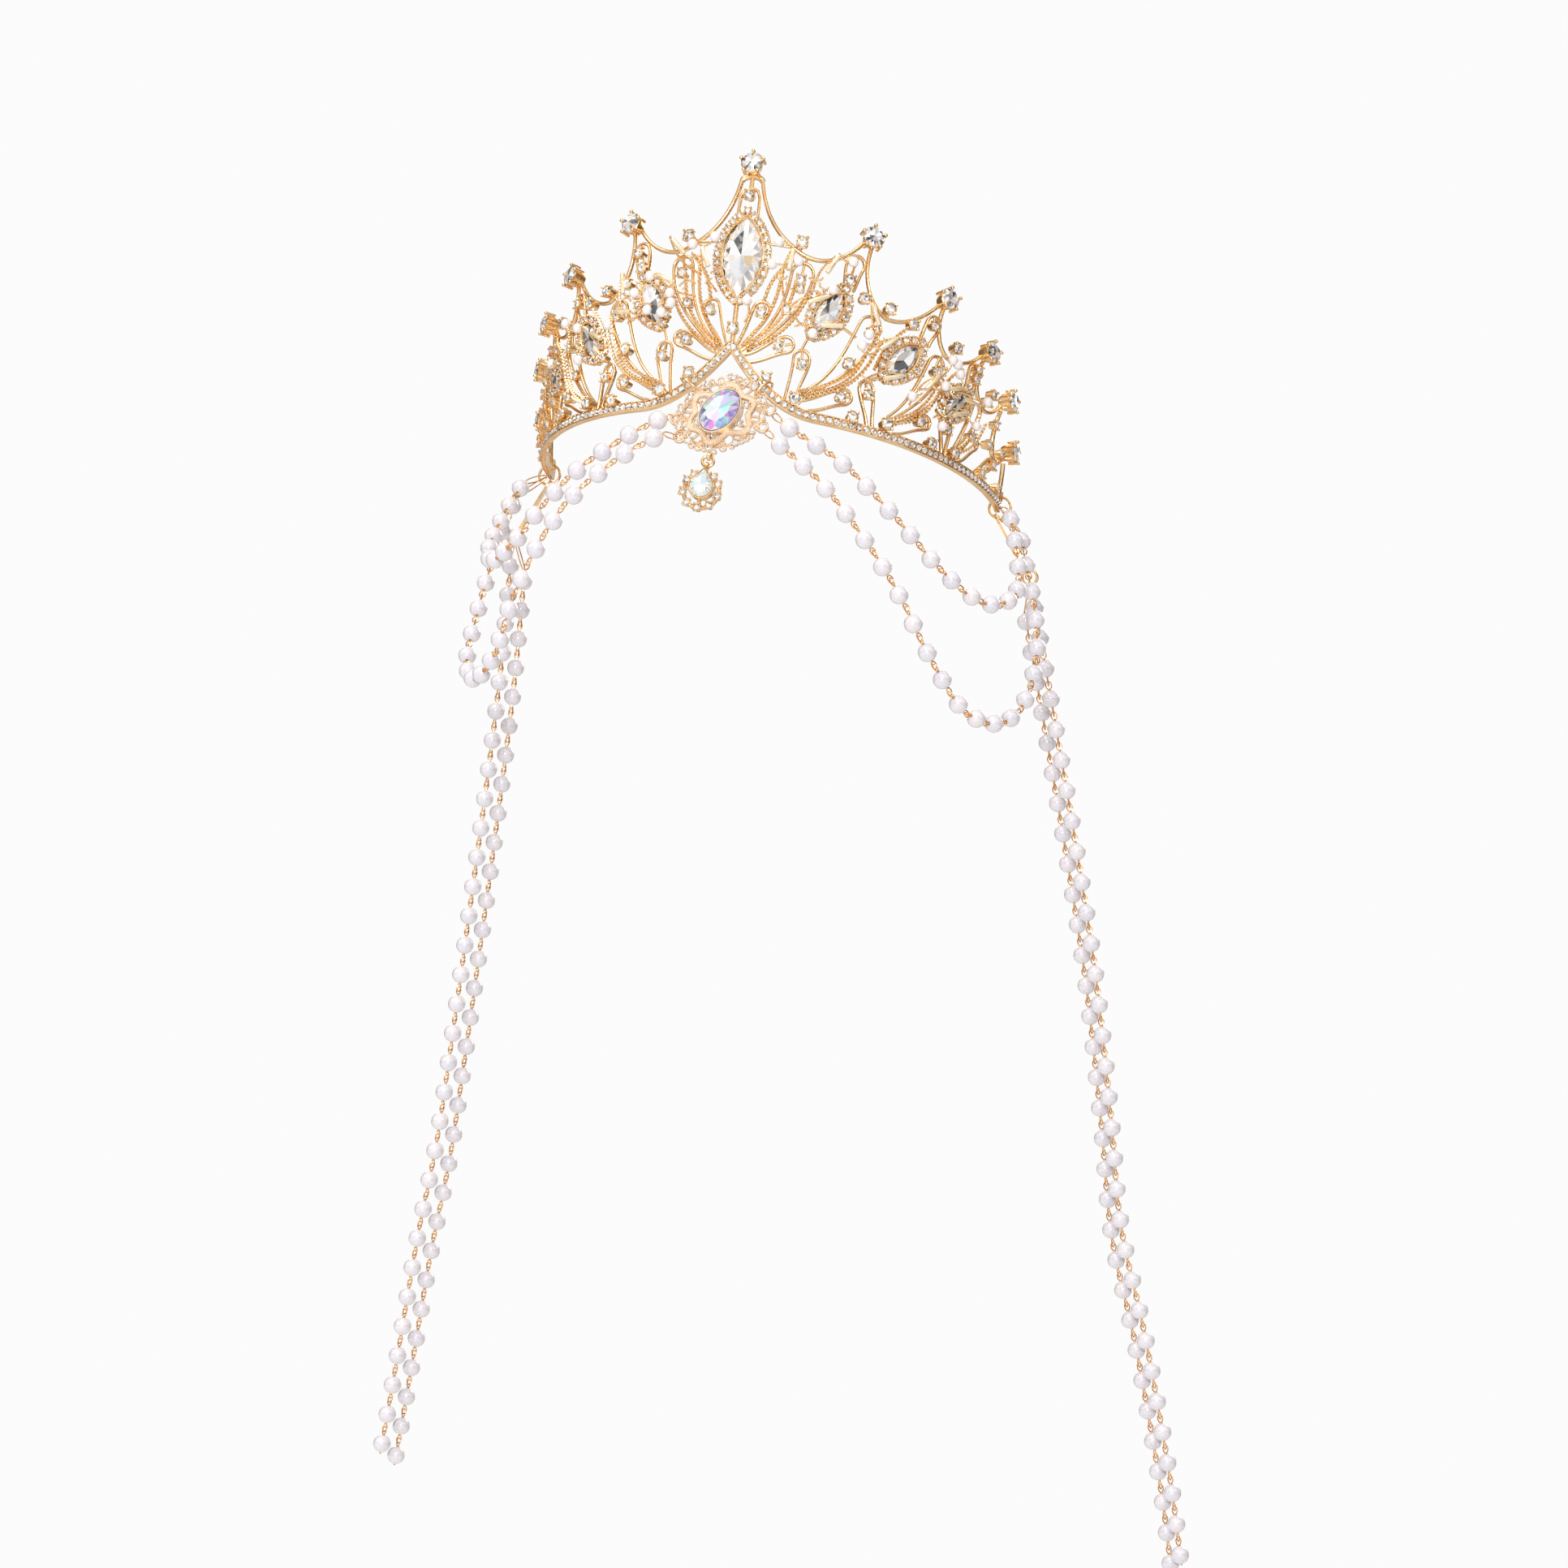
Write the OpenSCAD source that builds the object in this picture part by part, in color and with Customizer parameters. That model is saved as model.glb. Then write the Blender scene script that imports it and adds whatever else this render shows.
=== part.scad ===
// Openwork crown with a brow brooch, a drop and swagged pearl chains.
// Millimetres. +Z is up along the crown, -Y is the front, and the origin is the middle of the head opening
// in the plane of the band's foot. Places on the crown wall are given as [arc, height]: the length along the
// band from the front middle, and the height above the band's foot.

/* [Crown] */
// Radius of the band at its foot, front to back
band_r = 80; // [76:1:84]
// Share of that radius that the crown has from side to side
narrow = 0.96; // [0.94:0.01:1]
// Outward lean of the crown wall in degrees
flare = 5; // [3:0.5:7]
// Length of the band from the front middle to each end
band_half = 127; // [124:1:130]
// Height of the band
band_h = 3.2; // [2.8:0.1:3.6]
// Thickness of the band
band_t = 1.8; // [1.5:0.1:2.2]
// Rise of the band's pointed arch above the brow
arch_rise = 20; // [18:0.5:22]
// How far the openwork's tables are spread along the band
spread = 1.03; // [1:0.01:1.05]
// Width of the crest wires
crest_w = 1.2; // [1:0.1:1.5]
// Width of the loop wires
loop_w = 1; // [0.8:0.1:1.2]
// Depth of all crown wires, front to back
wire_d = 1.5; // [1.2:0.1:1.8]

/* [Stones] */
// Diameter of the round stones on the spires
tip_stone_d = 6.4; // [6:0.1:7]
// Depth of a spire stone's cup
tip_cup_h = 4.2; // [3.8:0.1:4.6]
// Share of a stone's width that its flat table takes
table_part = 0.55; // [0.5:0.01:0.6]
// Space left between a stone and its setting
stone_gap = 0.1; // [0.1:0.02:0.2]
// Width of the rim of small stones round a marquise
halo_w = 2.5; // [2.2:0.1:2.8]
// Length of the brooch's oval stone
oval_l = 15.2; // [14:0.2:15.6]
// Width of the brooch's oval stone
oval_w = 10.6; // [10:0.2:11]

/* [Brooch] */
// Turn of the hanging brooch about the line of sight in degrees
brooch_turn = -8.7; // [-10:0.1:-7]
// Half length of the brooch's oval plate
brooch_a = 15.1; // [14.8:0.1:15.4]
// Half width of the brooch's oval plate
brooch_b = 12; // [11.7:0.1:12.3]
// Lean of the plate's long axis above the level in degrees
brooch_lean = 33; // [32:0.5:34]
// Lean of the oval stone's long axis from the upright in degrees
oval_lean = -25.5; // [-27:0.5:-24]
// Thickness of the brooch plate
brooch_t = 1.6; // [1.4:0.1:1.8]
// Distance of the brooch's back from the crown's axis
brooch_y = 81.8; // [81.6:0.1:82.4]
// Height of the oval stone's cup above the brooch's back
oval_cup_h = 5.2; // [4.6:0.1:5.6]

// Length of the drop's pear stone
pear_l = 9.2; // [8.8:0.1:9.6]
// Width of the drop's pear stone
pear_w = 7.4; // [7:0.1:7.8]

/* [Pearl chains] */
// Diameter of a pearl
pearl_d = 6; // [5.6:0.1:6.2]
// Distance between neighbouring pearls
pearl_step = 10.2; // [9.9:0.1:10.4]
// Diameter of the wire through the pearls
chain_wire = 0.7; // [0.6:0.05:0.8]
// Diameter of a pearl's hole
pearl_hole = 1.3; // [1.2:0.05:1.4]

/* [Hidden] */
$fn = 32;
deg = 180 / PI;

// Crest wires of one side, from the middle spire outwards. Columns: start arc, start height, first bend arc,
// first bend height, second bend arc, second bend height, end arc, end height
CREST = [
    [3.1, 75, 4.4, 66.5, 8, 58.6, 14.9, 54.3],
    [14.7, 54.4, 21, 49.2, 29, 50.2, 35.8, 60],
    [38.4, 59.8, 36.8, 50, 40, 41, 46.5, 37.9],
    [46.5, 37.9, 53, 37, 59.4, 42, 64.2, 48.6],
    [66, 48.2, 64.2, 42, 66, 35.4, 70.4, 33],
    [70.4, 33, 75.5, 31.8, 81, 34.4, 85.4, 39.2],
    [87, 37.6, 84.6, 32.6, 86, 25.6, 91.7, 23.6],
    [91.7, 23.6, 95.6, 23, 99.6, 25.4, 102.6, 29],
    [104, 27.6, 101, 21.6, 101.4, 14, 106.2, 11.4],
    [106.2, 11.4, 108.6, 10.8, 111.4, 12, 113.8, 15],
    [116.6, 14.4, 118.6, 11, 119.6, 7, 120.2, 1.6],
];
// Teardrop loops of one side. Columns: first foot arc, height, second foot arc, height, head arc, height,
// head radius, head direction in degrees, direction at the feet in degrees
LOOPS = [
    [3.9, 18.4, 3.2, 19.3, 18.8, 46.2, 3.4, 87, 40],
    [23.4, 6.8, 22.6, 7.8, 41.9, 33.6, 3.6, 72, 30],
    [52, 5, 51.2, 6, 67, 28.8, 3.1, 72, 40],
    [82, 5, 81.2, 6, 88.6, 21.8, 2.4, 80, 66],
    [2.8, 19.8, 1.6, 21, 7.9, 33, 2.6, 74, 66],
    [5.9, 15.8, 4.2, 18.2, 16.8, 22.8, 2.5, 16, 8],
    [26.6, 3, 23.4, 5.8, 37.4, 9.8, 2.4, 14, 10],
    [55.4, 2.6, 52.2, 5, 66.6, 9.8, 2.3, 14, 10],
    [84, 2.6, 82.2, 5, 91, 11.4, 2.1, 34, 24],
    [95, 2.6, 93.4, 2.6, 103.4, 9, 1.9, 40, 34],
    [22.3, 7.4, 18.6, 4.6, 22.2, 19.2, 2.6, 94, 84],
    [48.2, 2.4, 46.2, 2.4, 44, 14.2, 2.4, 108, 104],
    [77.8, 2.4, 76, 2.4, 75.4, 12.4, 2.3, 104, 100],
    [34.8, 43.6, 31.4, 43.6, 34.4, 52.4, 2.8, 68, 72],
    [62.8, 33.6, 59.1, 34, 63.2, 41.4, 2.5, 78, 82],
    [84.8, 25.4, 81.4, 25.6, 83.6, 33.4, 2.2, 80, 84],
];
// Marquise stones from the middle outwards. Columns: arc, height, length, width, lean outwards in degrees
MARQUISES = [
    [0, 49.2, 27, 13, 0],
    [28.2, 34.7, 16.5, 7.6, 27],
    [54.1, 26.1, 16.5, 7.8, 38],
    [77.4, 19.8, 13.5, 6.6, 45],
];
// Spire stones from the middle outwards. Columns: arc, height
TIPS = [[0, 78.8], [37.6, 60.9], [65.2, 49.7], [87, 40.4], [104.2, 30.8], [115.4, 17.6]];
// Small claw settings of one side that stand on a wire. Columns: arc, height, stone diameter
CLAWS = [
    [17.35, 55.9, 3.6], [46.9, 41, 3.6], [73, 36.8, 3.4], [92.6, 26.4, 3.2], [108.6, 14.4, 3],
    [12.3, 11.2, 3.4], [40.6, 3.9, 3.4], [70, 3.9, 3.4], [97.4, 3.8, 3.2], [111.2, 3.7, 3],
    [21.8, 5.8, 3.8], [52.4, 4.8, 3.8], [80.6, 4.3, 3.6], [98, 13.8, 3],
];
// Short bars of solder between neighbouring parts. Columns: start arc, height, end arc, height
BARS = [
    [17, 52.4, 17.2, 56], [46.8, 37.6, 46.9, 41], [72.4, 32.5, 73, 36.8], [92.4, 23.4, 92.6, 26.4],
    [108.2, 11.2, 108.6, 14.4], [8, 54.4, 14.4, 54.2], [23.4, 26.6, 21.6, 21.6], [33.2, 31.6, 38, 29.4],
    [43.4, 16.6, 48.4, 19.4], [58.4, 22, 63, 24.2], [69.4, 26.4, 75, 23.4], [82.2, 20, 86.4, 20],
    [90.4, 22, 91.7, 23.6], [98, 13.8, 102.4, 15.6], [98, 13.8, 92.6, 12.2], [104, 9, 105.8, 12],
    [42.4, 36.4, 44.6, 39], [67.8, 31.4, 69.4, 33.6], [19, 49, 19.6, 52],
];

// Swags, which lie over the wearer's head from the brooch to the ends of the band. Columns: angle round the
// head from the front, height, distance from the crown's axis
UPPER_RIGHT = [[15.2, -5.6, 86], [26.7, -14.8, 89.1], [37, -26.6, 91.7], [47, -38, 93.3], [52.5, -42.3, 93.7],
    [58.1, -44.8, 93.9], [65, -44.4, 94.2], [70.6, -40.3, 94.8], [75.4, -34, 93.6], [77.8, -24.9, 91.4],
    [79, -15.2, 88.4], [81.4, -6.8, 84.8]];
UPPER_LEFT = [[13, -6.4, 86.4], [19.3, -12.5, 88.4], [29.5, -23.8, 91.2], [38.2, -36.8, 93.1],
    [42.1, -42.5, 93.2], [48.1, -45.6, 92.4], [54.4, -46.3, 91.4], [60.4, -44.4, 90.8], [65.7, -38.8, 90.4],
    [70.7, -32.3, 89.4], [75.4, -24.6, 87.9], [80, -16, 86.4], [84, -7.4, 84.6]];
LOWER_RIGHT = [[13.8, -12.4, 88.4], [23.1, -23.6, 91.1], [32.6, -38.7, 93.3], [41, -53.6, 94.5],
    [48.2, -68, 95.2], [56.8, -79.8, 95.5], [62.9, -82.6, 95.6], [69, -81.8, 96], [74.5, -77.7, 97.2],
    [78.1, -70, 99.1],
    [80, -60, 99.8], [81.6, -51, 99.1], [82.2, -41.1, 97.2], [82.4, -31.2, 94.6], [83.2, -21.8, 91.3],
    [85, -12.4, 88]];
LOWER_LEFT = [[12.5, -13.2, 88.6], [19.1, -20.1, 90.4], [28.6, -33.2, 92.7], [35.2, -49.2, 94.2],
    [39.5, -65.6, 95], [41.6, -74, 94.4], [45.7, -79.7, 92], [51.5, -83.3, 90.2], [58, -84.8, 89.6],
    [64.3, -82.6, 90], [69.6, -77, 90.8], [73.8, -69.6, 91.4], [76.6, -60.4, 91], [79.6, -46, 90.2],
    [82.4, -30, 88.8], [85, -13.4, 86.6]];
// Long strands. Columns: distance to the side, distance to the back, height
RIGHT_STRAND = [[91.1, 16, -27.7], [96.2, 23, -46.5], [101.3, 30, -65.3], [111.5, 41, -103],
    [121.5, 52.4, -143], [130.5, 65, -187], [137, 76, -222], [148, 86, -256], [160, 98, -299],
    [166, 105, -325]];
LEFT_STRAND = [[91.1, 16, -27.7], [90, 20.6, -65], [90.5, 27, -103], [92, 36, -150], [93.5, 44, -193],
    [95, 50, -225], [98, 55.5, -256], [101, 64, -299], [103, 69, -325]];
// Place of the second long strand of each pair against the first
TWIN = [-3.4, 7, -3];

function unit(v) = v / norm(v);
function bezier(a, b, c, d, t) = pow(1 - t, 3) * a + 3 * t * pow(1 - t, 2) * b + 3 * t * t * (1 - t) * c
    + pow(t, 3) * d;

// Point on the crown wall, which is a cone that opens upwards
function wall(arc, height) = let(a = arc / band_r * deg, r = band_r + height * tan(flare))
    [narrow * r * sin(a), -r * cos(a), height];
function wall_path(flat) = [for (p = flat) wall(p[0], p[1])];
function fan_path(flat) = [for (p = flat) wall(p[0] * spread, p[1])];
function outward(p) = unit([p[0], p[1], 0]);

// Height of the band's middle line, which is level at the sides and rises to a point over the brow
function band_height(arc) = let(u = abs(arc) / 31) u >= 1 ? 1.2 : 1.2 + arch_rise * pow(1 - u, 2.15);

// Solid skin over rings of points, with flat ends or joined into a ring
module skin(rings, closed = false) {
    n = len(rings[0]);
    m = len(rings);
    sides = [for (i = [0:m - (closed ? 1 : 2)], k = [0:n - 1])
        let(a = i * n, b = (i + 1) % m * n, l = (k + 1) % n)
            each [[a + k, b + k, b + l], [a + k, b + l, a + l]]];
    caps = closed ? [] : [[for (k = [0:n - 1]) k], [for (k = [n - 1:-1:0]) (m - 1) * n + k]];
    polyhedron(points = [for (ring = rings) each ring], faces = concat(sides, caps));
}

// Oblong section about point p of a wire that runs along t, with its depth along out
function oblong(p, t, out, w, d) = let(side = unit(cross(t, out)), depth = cross(side, t))
    [for (c = [[-1, -1], [-1, 1], [1, 1], [1, -1]]) p + c[0] * w / 2 * side + c[1] * d / 2 * depth];

// Bar of oblong section along a path on the crown wall
module wall_bar(path, w, d, closed = false) {
    n = len(path);
    skin([for (i = [0:n - 1]) let(
        before = closed ? (i + n - 1) % n : max(i - 1, 0),
        after = closed ? (i + 1) % n : min(i + 1, n - 1)
    ) oblong(path[i], unit(path[after] - path[before]), outward(path[i]), w, d)], closed);
}

// Puts a part on the crown wall, with its +Y up and its +Z facing out, lifted above the level by that angle
module at_wall(arc, height, lift = flare) {
    translate(wall(arc, height))
        rotate([0, 0, arc / band_r * deg])
            rotate([90 - lift, 0, 0])
                children();
}

// Outline of a teardrop loop: one leg, the round head and the other leg
function loop_flat(row) = let(
    head = [row[4], row[5]],
    r = row[6],
    d = [cos(row[7]), sin(row[7])],
    n = [-d[1], d[0]],
    f = [cos(row[8]), sin(row[8])],
    a = [row[0], row[1]],
    b = [row[2], row[3]],
    reach = norm(head - a),
    pull = 0.36 * reach,
    steps = reach > 16 ? 4 : 2
) concat(
    [for (i = [0:steps - 1]) bezier(a, a + f * pull, head - n * r - d * pull, head - n * r, i / steps)],
    [for (q = [-90:60:90]) head + r * (d * cos(q) + n * sin(q))],
    [for (i = [steps - 1:-1:0]) bezier(b, b + f * pull, head + n * r - d * pull, head + n * r, i / steps)]
);

// Outline of a marquise as two arcs of k steps each
function marquise_outline(l, w, k) = let(r = (l * l + w * w) / (4 * w), half = asin(l / 2 / r))
    [for (side = [1, -1], i = [0:k - 1]) let(q = -half + 2 * half * i / k)
        side * [r * cos(q) - r + w / 2, r * sin(q)]];
function leaned(p, row) = [row[0] * spread + p[0] * cos(row[4]) + p[1] * sin(row[4]),
    row[1] - p[0] * sin(row[4]) + p[1] * cos(row[4])];
function oval_outline(l, w, k) = [for (i = [0:k - 1]) [w / 2 * cos(i * 360 / k), l / 2 * sin(i * 360 / k)]];
// Outline of a pear: a round end with two straight sides that meet above it
function pear_outline(l, w) = let(r = w / 2, top = l - r, lean = asin(r / top))
    concat([[0, top]], [for (i = [0:8]) let(q = 180 - lean + i * (180 + 2 * lean) / 8) r * [cos(q), sin(q)]]);

// Cut stone with a table, a crown, a girdle and a pointed pavilion
module gem(outline, crown_h, pavilion_h) {
    skin([for (level = [[0.12, -pavilion_h], [1, 0], [table_part, crown_h]])
        [for (p = outline) [p[0] * level[0], p[1] * level[0], level[1]]]]);
}

// Rim that holds the small stones round a marquise
module halo(row) {
    edge = halo_w + 2 * stone_gap;
    outline = marquise_outline(row[2] + edge, row[3] + edge, 6);
    wall_bar(wall_path([for (p = outline) leaned(p, row)]), halo_w, wire_d + 0.6, closed = true);
}

module claw_setting(row) {
    at_wall(row[0] * spread, row[1])
        translate([0, 0, -0.8])
            hull() {
                cylinder(d = row[2] * 0.7, h = 0.1, $fn = 6);
                translate([0, 0, 2.2]) cylinder(d = row[2] + 0.5, h = 0.1, $fn = 6);
            }
}

// Cup with five claws for a spire stone, as one skin: up the outside, over the rim and down the seat
module spire_setting(row) {
    rim = tip_cup_h - 0.2;
    corners = [for (i = [0:9]) 90 + i * 36];
    star = [for (i = [0:9]) (tip_stone_d / 2 + [1.4, 0.6][i % 2]) * [cos(corners[i]), sin(corners[i])]];
    seat = [for (q = corners) (tip_stone_d / 2 + 0.3) * [cos(q), sin(q)]];
    at_wall(row[0] * spread, row[1])
        skin([for (level = [[star, 0.6, -0.8], [star, 1, rim], [seat, 1, rim], [seat, 0.25, rim - 3.2]])
            [for (p = level[0]) [p[0] * level[1], p[1] * level[1], level[2]]]]);
}

module band() {
    arcs = concat([for (a = [0:3.1:31]) a], [for (a = [36:5.2:band_half - 2]) a], [band_half]);
    right = [for (a = arcs) wall(a, band_height(a))];
    left = [for (i = [len(arcs) - 1:-1:1]) wall(-arcs[i], band_height(arcs[i]))];
    wall_bar(concat(left, right), band_h, band_t);
}

// Eye on each end of the band for the ring of the pearl chains
eye_arc = band_half - 0.6;
eye_height = 4.6;
module end_eye() {
    at_wall(eye_arc, eye_height)
        difference() {
            cylinder(d = 4.8, h = 1.4, center = true, $fn = 12);
            cylinder(d = 2.8, h = 2, center = true, $fn = 8);
        }
}

module crown_side() {
    for (row = CREST)
        wall_bar(fan_path([for (i = [0:5]) bezier([row[0], row[1]], [row[2], row[3]], [row[4], row[5]],
            [row[6], row[7]], i / 5)]), crest_w, wire_d);
    for (row = LOOPS)
        wall_bar(fan_path(loop_flat(row)), loop_w, wire_d);
    for (i = [1:3])
        halo(MARQUISES[i]);
    for (row = CLAWS)
        claw_setting(row);
    for (i = [1:5])
        spire_setting(TIPS[i]);
    for (row = BARS)
        wall_bar(fan_path([[row[0], row[1]], [row[2], row[3]]]), loop_w, wire_d * 0.8);
    end_eye();
}

module crown_frame() {
    color("goldenrod")
        union() {
            band();
            crown_side();
            mirror([1, 0, 0]) crown_side();
            halo(MARQUISES[0]);
            spire_setting(TIPS[0]);
            claw_setting([0, 69, 3.2]);
            claw_setting([0, 26, 3.4]);
            wall_bar(wall_path([[0, 20], [0, 34.8]]), 1.4, wire_d);
            // Arch over the cap stone
            wall_bar(wall_path([[-3.2, 62], [-3, 69], [-2.1, 71.3], [0, 72.2], [2.1, 71.3], [3, 69],
                [3.2, 62]]), loop_w, wire_d);
            wall_bar(wall_path([[0, 68], [0, 78]]), 1.4, wire_d);
            // Web under the middle spire, which joins the two wires of the crest
            wall_bar(wall_path([[-3.1, 74.6], [0, 75.4], [3.1, 74.6]]), 1.9, wire_d * 0.9);
        }
}

module spire_stone(side, i) {
    color("white")
        at_wall(side * TIPS[i][0] * spread, TIPS[i][1])
            translate([0, 0, tip_cup_h])
                gem(oval_outline(tip_stone_d, tip_stone_d, 8), 1, 2);
}

module marquise_stone(side, i) {
    row = MARQUISES[i];
    l = row[2] - 5 * stone_gap;
    w = row[3] - 5 * stone_gap;
    color("white")
        at_wall(side * row[0] * spread, row[1], -flare)
            rotate([0, 0, -side * row[4]])
                gem(marquise_outline(l, w, 6), w / 5, w / 5);
}

// Puts a part on the brow, in the plane of the hanging brooch, with its +Z facing forwards
brooch_x = 0.5;
brooch_z = -2.7;
module on_brow(down = 0, out = 0) {
    translate([brooch_x, -brooch_y, brooch_z])
        rotate([90, 0, 0])
            rotate([0, 0, brooch_turn])
                translate([0, -down, out])
                    children();
}
// Place of a point [x, height] of the brooch's plane, and the point of that plane at a place
function brow_point(x, up, out) = let(c = cos(brooch_turn), s = sin(brooch_turn))
    [brooch_x + x * c - up * s, -brooch_y - out, brooch_z + x * s + up * c];
function brow_plane(x, z) =
    let(c = cos(brooch_turn), s = sin(brooch_turn), dx = x - brooch_x, dz = z - brooch_z)
        [dx * c + dz * s, dz * c - dx * s];

// Rings that hold the brooch to the rising band, right and left. Columns: mean diameter, tilt from upright
// in degrees, distance of the ring's middle from the band's middle line
BROOCH_RINGS = [[8.2, 36.6, 1.2], [9.2, 56.8, 1.8]];
function brooch_ring_row(side) = BROOCH_RINGS[side > 0 ? 0 : 1];
brooch_ring_arc = 13;
function brooch_ring_middle(row) = wall(brooch_ring_arc, band_height(brooch_ring_arc))
    - [row[2] * sin(row[1]), 0.8, row[2] * cos(row[1])];
// Where a ring goes through the plate
function brooch_hole(side) = let(
    row = brooch_ring_row(side),
    middle = brooch_ring_middle(row),
    ahead = brooch_y + 0.6 * brooch_t + middle[1],
    below = sqrt(pow(row[0] / 2, 2) - ahead * ahead)
) brow_plane(side * (middle[0] - below * sin(row[1])), middle[2] - below * cos(row[1]));

function round_lobes(a, b, count, bump, k) = [for (i = [0:k - 1])
    let(q = i * 360 / k, e = bump * cos(count * q)) [(a + e) * cos(q), (b + e) * sin(q)]];

// Lug with its hole from side to side, for the jump ring of the drop
module lug() {
    rotate([0, 90, 0])
        difference() {
            cylinder(d = 3.2, h = 1.2, center = true, $fn = 12);
            cylinder(d = 1.8, h = 2, center = true, $fn = 8);
        }
}

// Eyes of the brooch for the upper and the lower swag. Columns: distance to the right, height there, distance
// to the left, height there
BROOCH_EYES = [[14.2, 5, 13.9, -4.7], [13.6, -1, 11.2, -10]];
function brooch_eye(side, i) = side > 0 ? [BROOCH_EYES[i][0], BROOCH_EYES[i][1]]
    : [-BROOCH_EYES[i][2], BROOCH_EYES[i][3]];
// Outer stones of the brooch's right side. Columns: distance to the right, height. The plate is alike when it
// is turned half round
SEATS = [[0.5, 12], [7.6, 10.9], [11.8, 7.1], [12.9, 2], [11.2, -3.2], [7.1, -8.1]];
// Reach of the raised petals at an angle from the plate's long axis: two petals lie on the axis, and four
// stand at 50 degrees from it
function petal_reach(q) = let(v = abs(asin(sin(q)))) v < 25 ? 10.3 + 1.1 * cos(v * 7.2)
    : v < 50 ? 10 - 0.8 * cos((v - 25) * 7.2) : 9.1 + 1.7 * cos((v - 50) * 4.5);
module petal_outline(inset) {
    polygon([for (i = [0:47]) let(q = i * 7.5) (petal_reach(q) - inset) * [cos(q), sin(q)]]);
}
module oval_cup_outline(wider) {
    polygon(oval_outline(oval_l + wider, oval_w + wider, 20));
}

module brooch_plate() {
    linear_extrude(brooch_t)
        difference() {
            union() {
                rotate([0, 0, brooch_lean]) polygon(round_lobes(brooch_a, brooch_b, 12, 0.4, 48));
                for (side = [-1, 1]) {
                    for (i = [0, 1])
                        translate(0.98 * brooch_eye(side, i)) circle(d = 4.4, $fn = 12);
                    translate(brooch_hole(side)) circle(d = 4.8, $fn = 12);
                }
            }
            for (side = [-1, 1]) {
                for (i = [0, 1])
                    translate(brooch_eye(side, i)) circle(d = 2.6, $fn = 8);
                for (i = [0, 3, 4])
                    translate(side * 0.41 * (SEATS[i] + SEATS[i + 1])) circle(d = 1.8, $fn = 6);
            }
        }
}

module brooch_frame() {
    color("goldenrod")
        on_brow()
            difference() {
                union() {
                    brooch_plate();
                    // Six petals of raised wire
                    rotate([0, 0, brooch_lean])
                        linear_extrude(brooch_t + 0.9)
                            difference() {
                                petal_outline(0);
                                petal_outline(1.5);
                            }
                    // Cup of the oval stone
                    rotate([0, 0, oval_lean])
                        linear_extrude(oval_cup_h)
                            difference() {
                                oval_cup_outline(1);
                                oval_cup_outline(2 * stone_gap);
                            }
                    for (p = SEATS, side = [-1, 1])
                        translate(side * p)
                            cylinder(d = 2.5, h = brooch_t + 0.9, $fn = 8);
                    translate([0, -lug_drop, brooch_t / 2]) lug();
                }
                for (side = [-1, 1])
                    translate(brooch_hole(side)) cylinder(d = 3, h = 6, center = true, $fn = 8);
            }
}

module brooch_stone() {
    color("lavender")
        on_brow(0, oval_cup_h + stone_gap)
            rotate([0, 0, oval_lean])
                gem(oval_outline(oval_l, oval_w, 12), 2, 1.6);
}

module ring(mean_d, thickness) {
    rotate_extrude($fn = 32)
        translate([mean_d / 2, 0])
            circle(d = thickness, $fn = 16);
}

module brooch_ring(side) {
    row = brooch_ring_row(side);
    middle = brooch_ring_middle(row);
    color("goldenrod")
        translate([side * middle[0], middle[1], middle[2]])
            rotate([0, side * row[1], 0])
                rotate([0, 90, 0])
                    ring(row[0], 0.8);
}

// The drop hangs from a ring below the brooch's lug, a little out of plumb
lug_drop = 13.9;
ring_drop = lug_drop + 1.8;
drop_turn = -4;
module on_drop(down = 0, out = 0) {
    middle = brow_point(0, -ring_drop, 0);
    translate(middle)
        rotate([90, 0, 0])
            rotate([0, 0, drop_turn])
                translate([0, -down, out])
                    children();
}
module drop_ring() {
    color("goldenrod") on_drop(0, brooch_t / 2) ring(3.6, 1);
}

// Crescent of small stones round the pear: its middle is below the pear's, and its stones lie on a circle
crescent_down = 1.2;
crescent_r = 5.7;
CRESCENT = [-147, -118, -78, -39, 0, 39, 78, 118, 147];
pear_drop = 1.8 + 6.9;
module drop_frame() {
    color("goldenrod")
        on_drop(pear_drop)
            union() {
                // Cup of the pear stone
                linear_extrude(3)
                    difference() {
                        polygon(pear_outline(pear_l + 1.4, pear_w + 1.4));
                        polygon(pear_outline(pear_l + 3 * stone_gap, pear_w + 3 * stone_gap));
                    }
                linear_extrude(1) polygon(pear_outline(pear_l + 1, pear_w + 1));
                translate([0, -crescent_down, 0]) {
                    linear_extrude(1.5)
                        difference() {
                            circle(r = crescent_r + 1.1, $fn = 24);
                            circle(r = crescent_r - 1.1, $fn = 24);
                            polygon([[0, 0], [16, 24], [-16, 24]]);
                        }
                    for (q = CRESCENT)
                        rotate([0, 0, q - 90])
                            translate([crescent_r, 0, 0])
                                cylinder(d = 2.6, h = 2.2, $fn = 8);
                }
                translate([0, 6.9, brooch_t / 2]) lug();
                translate([-0.6, 4.4, 0]) cube([1.2, 1.2, 1.4]);
            }
}

module drop_stone() {
    color("white") on_drop(pear_drop, 3) gem(pear_outline(pear_l, pear_w), 1.4, 1.8);
}

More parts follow.
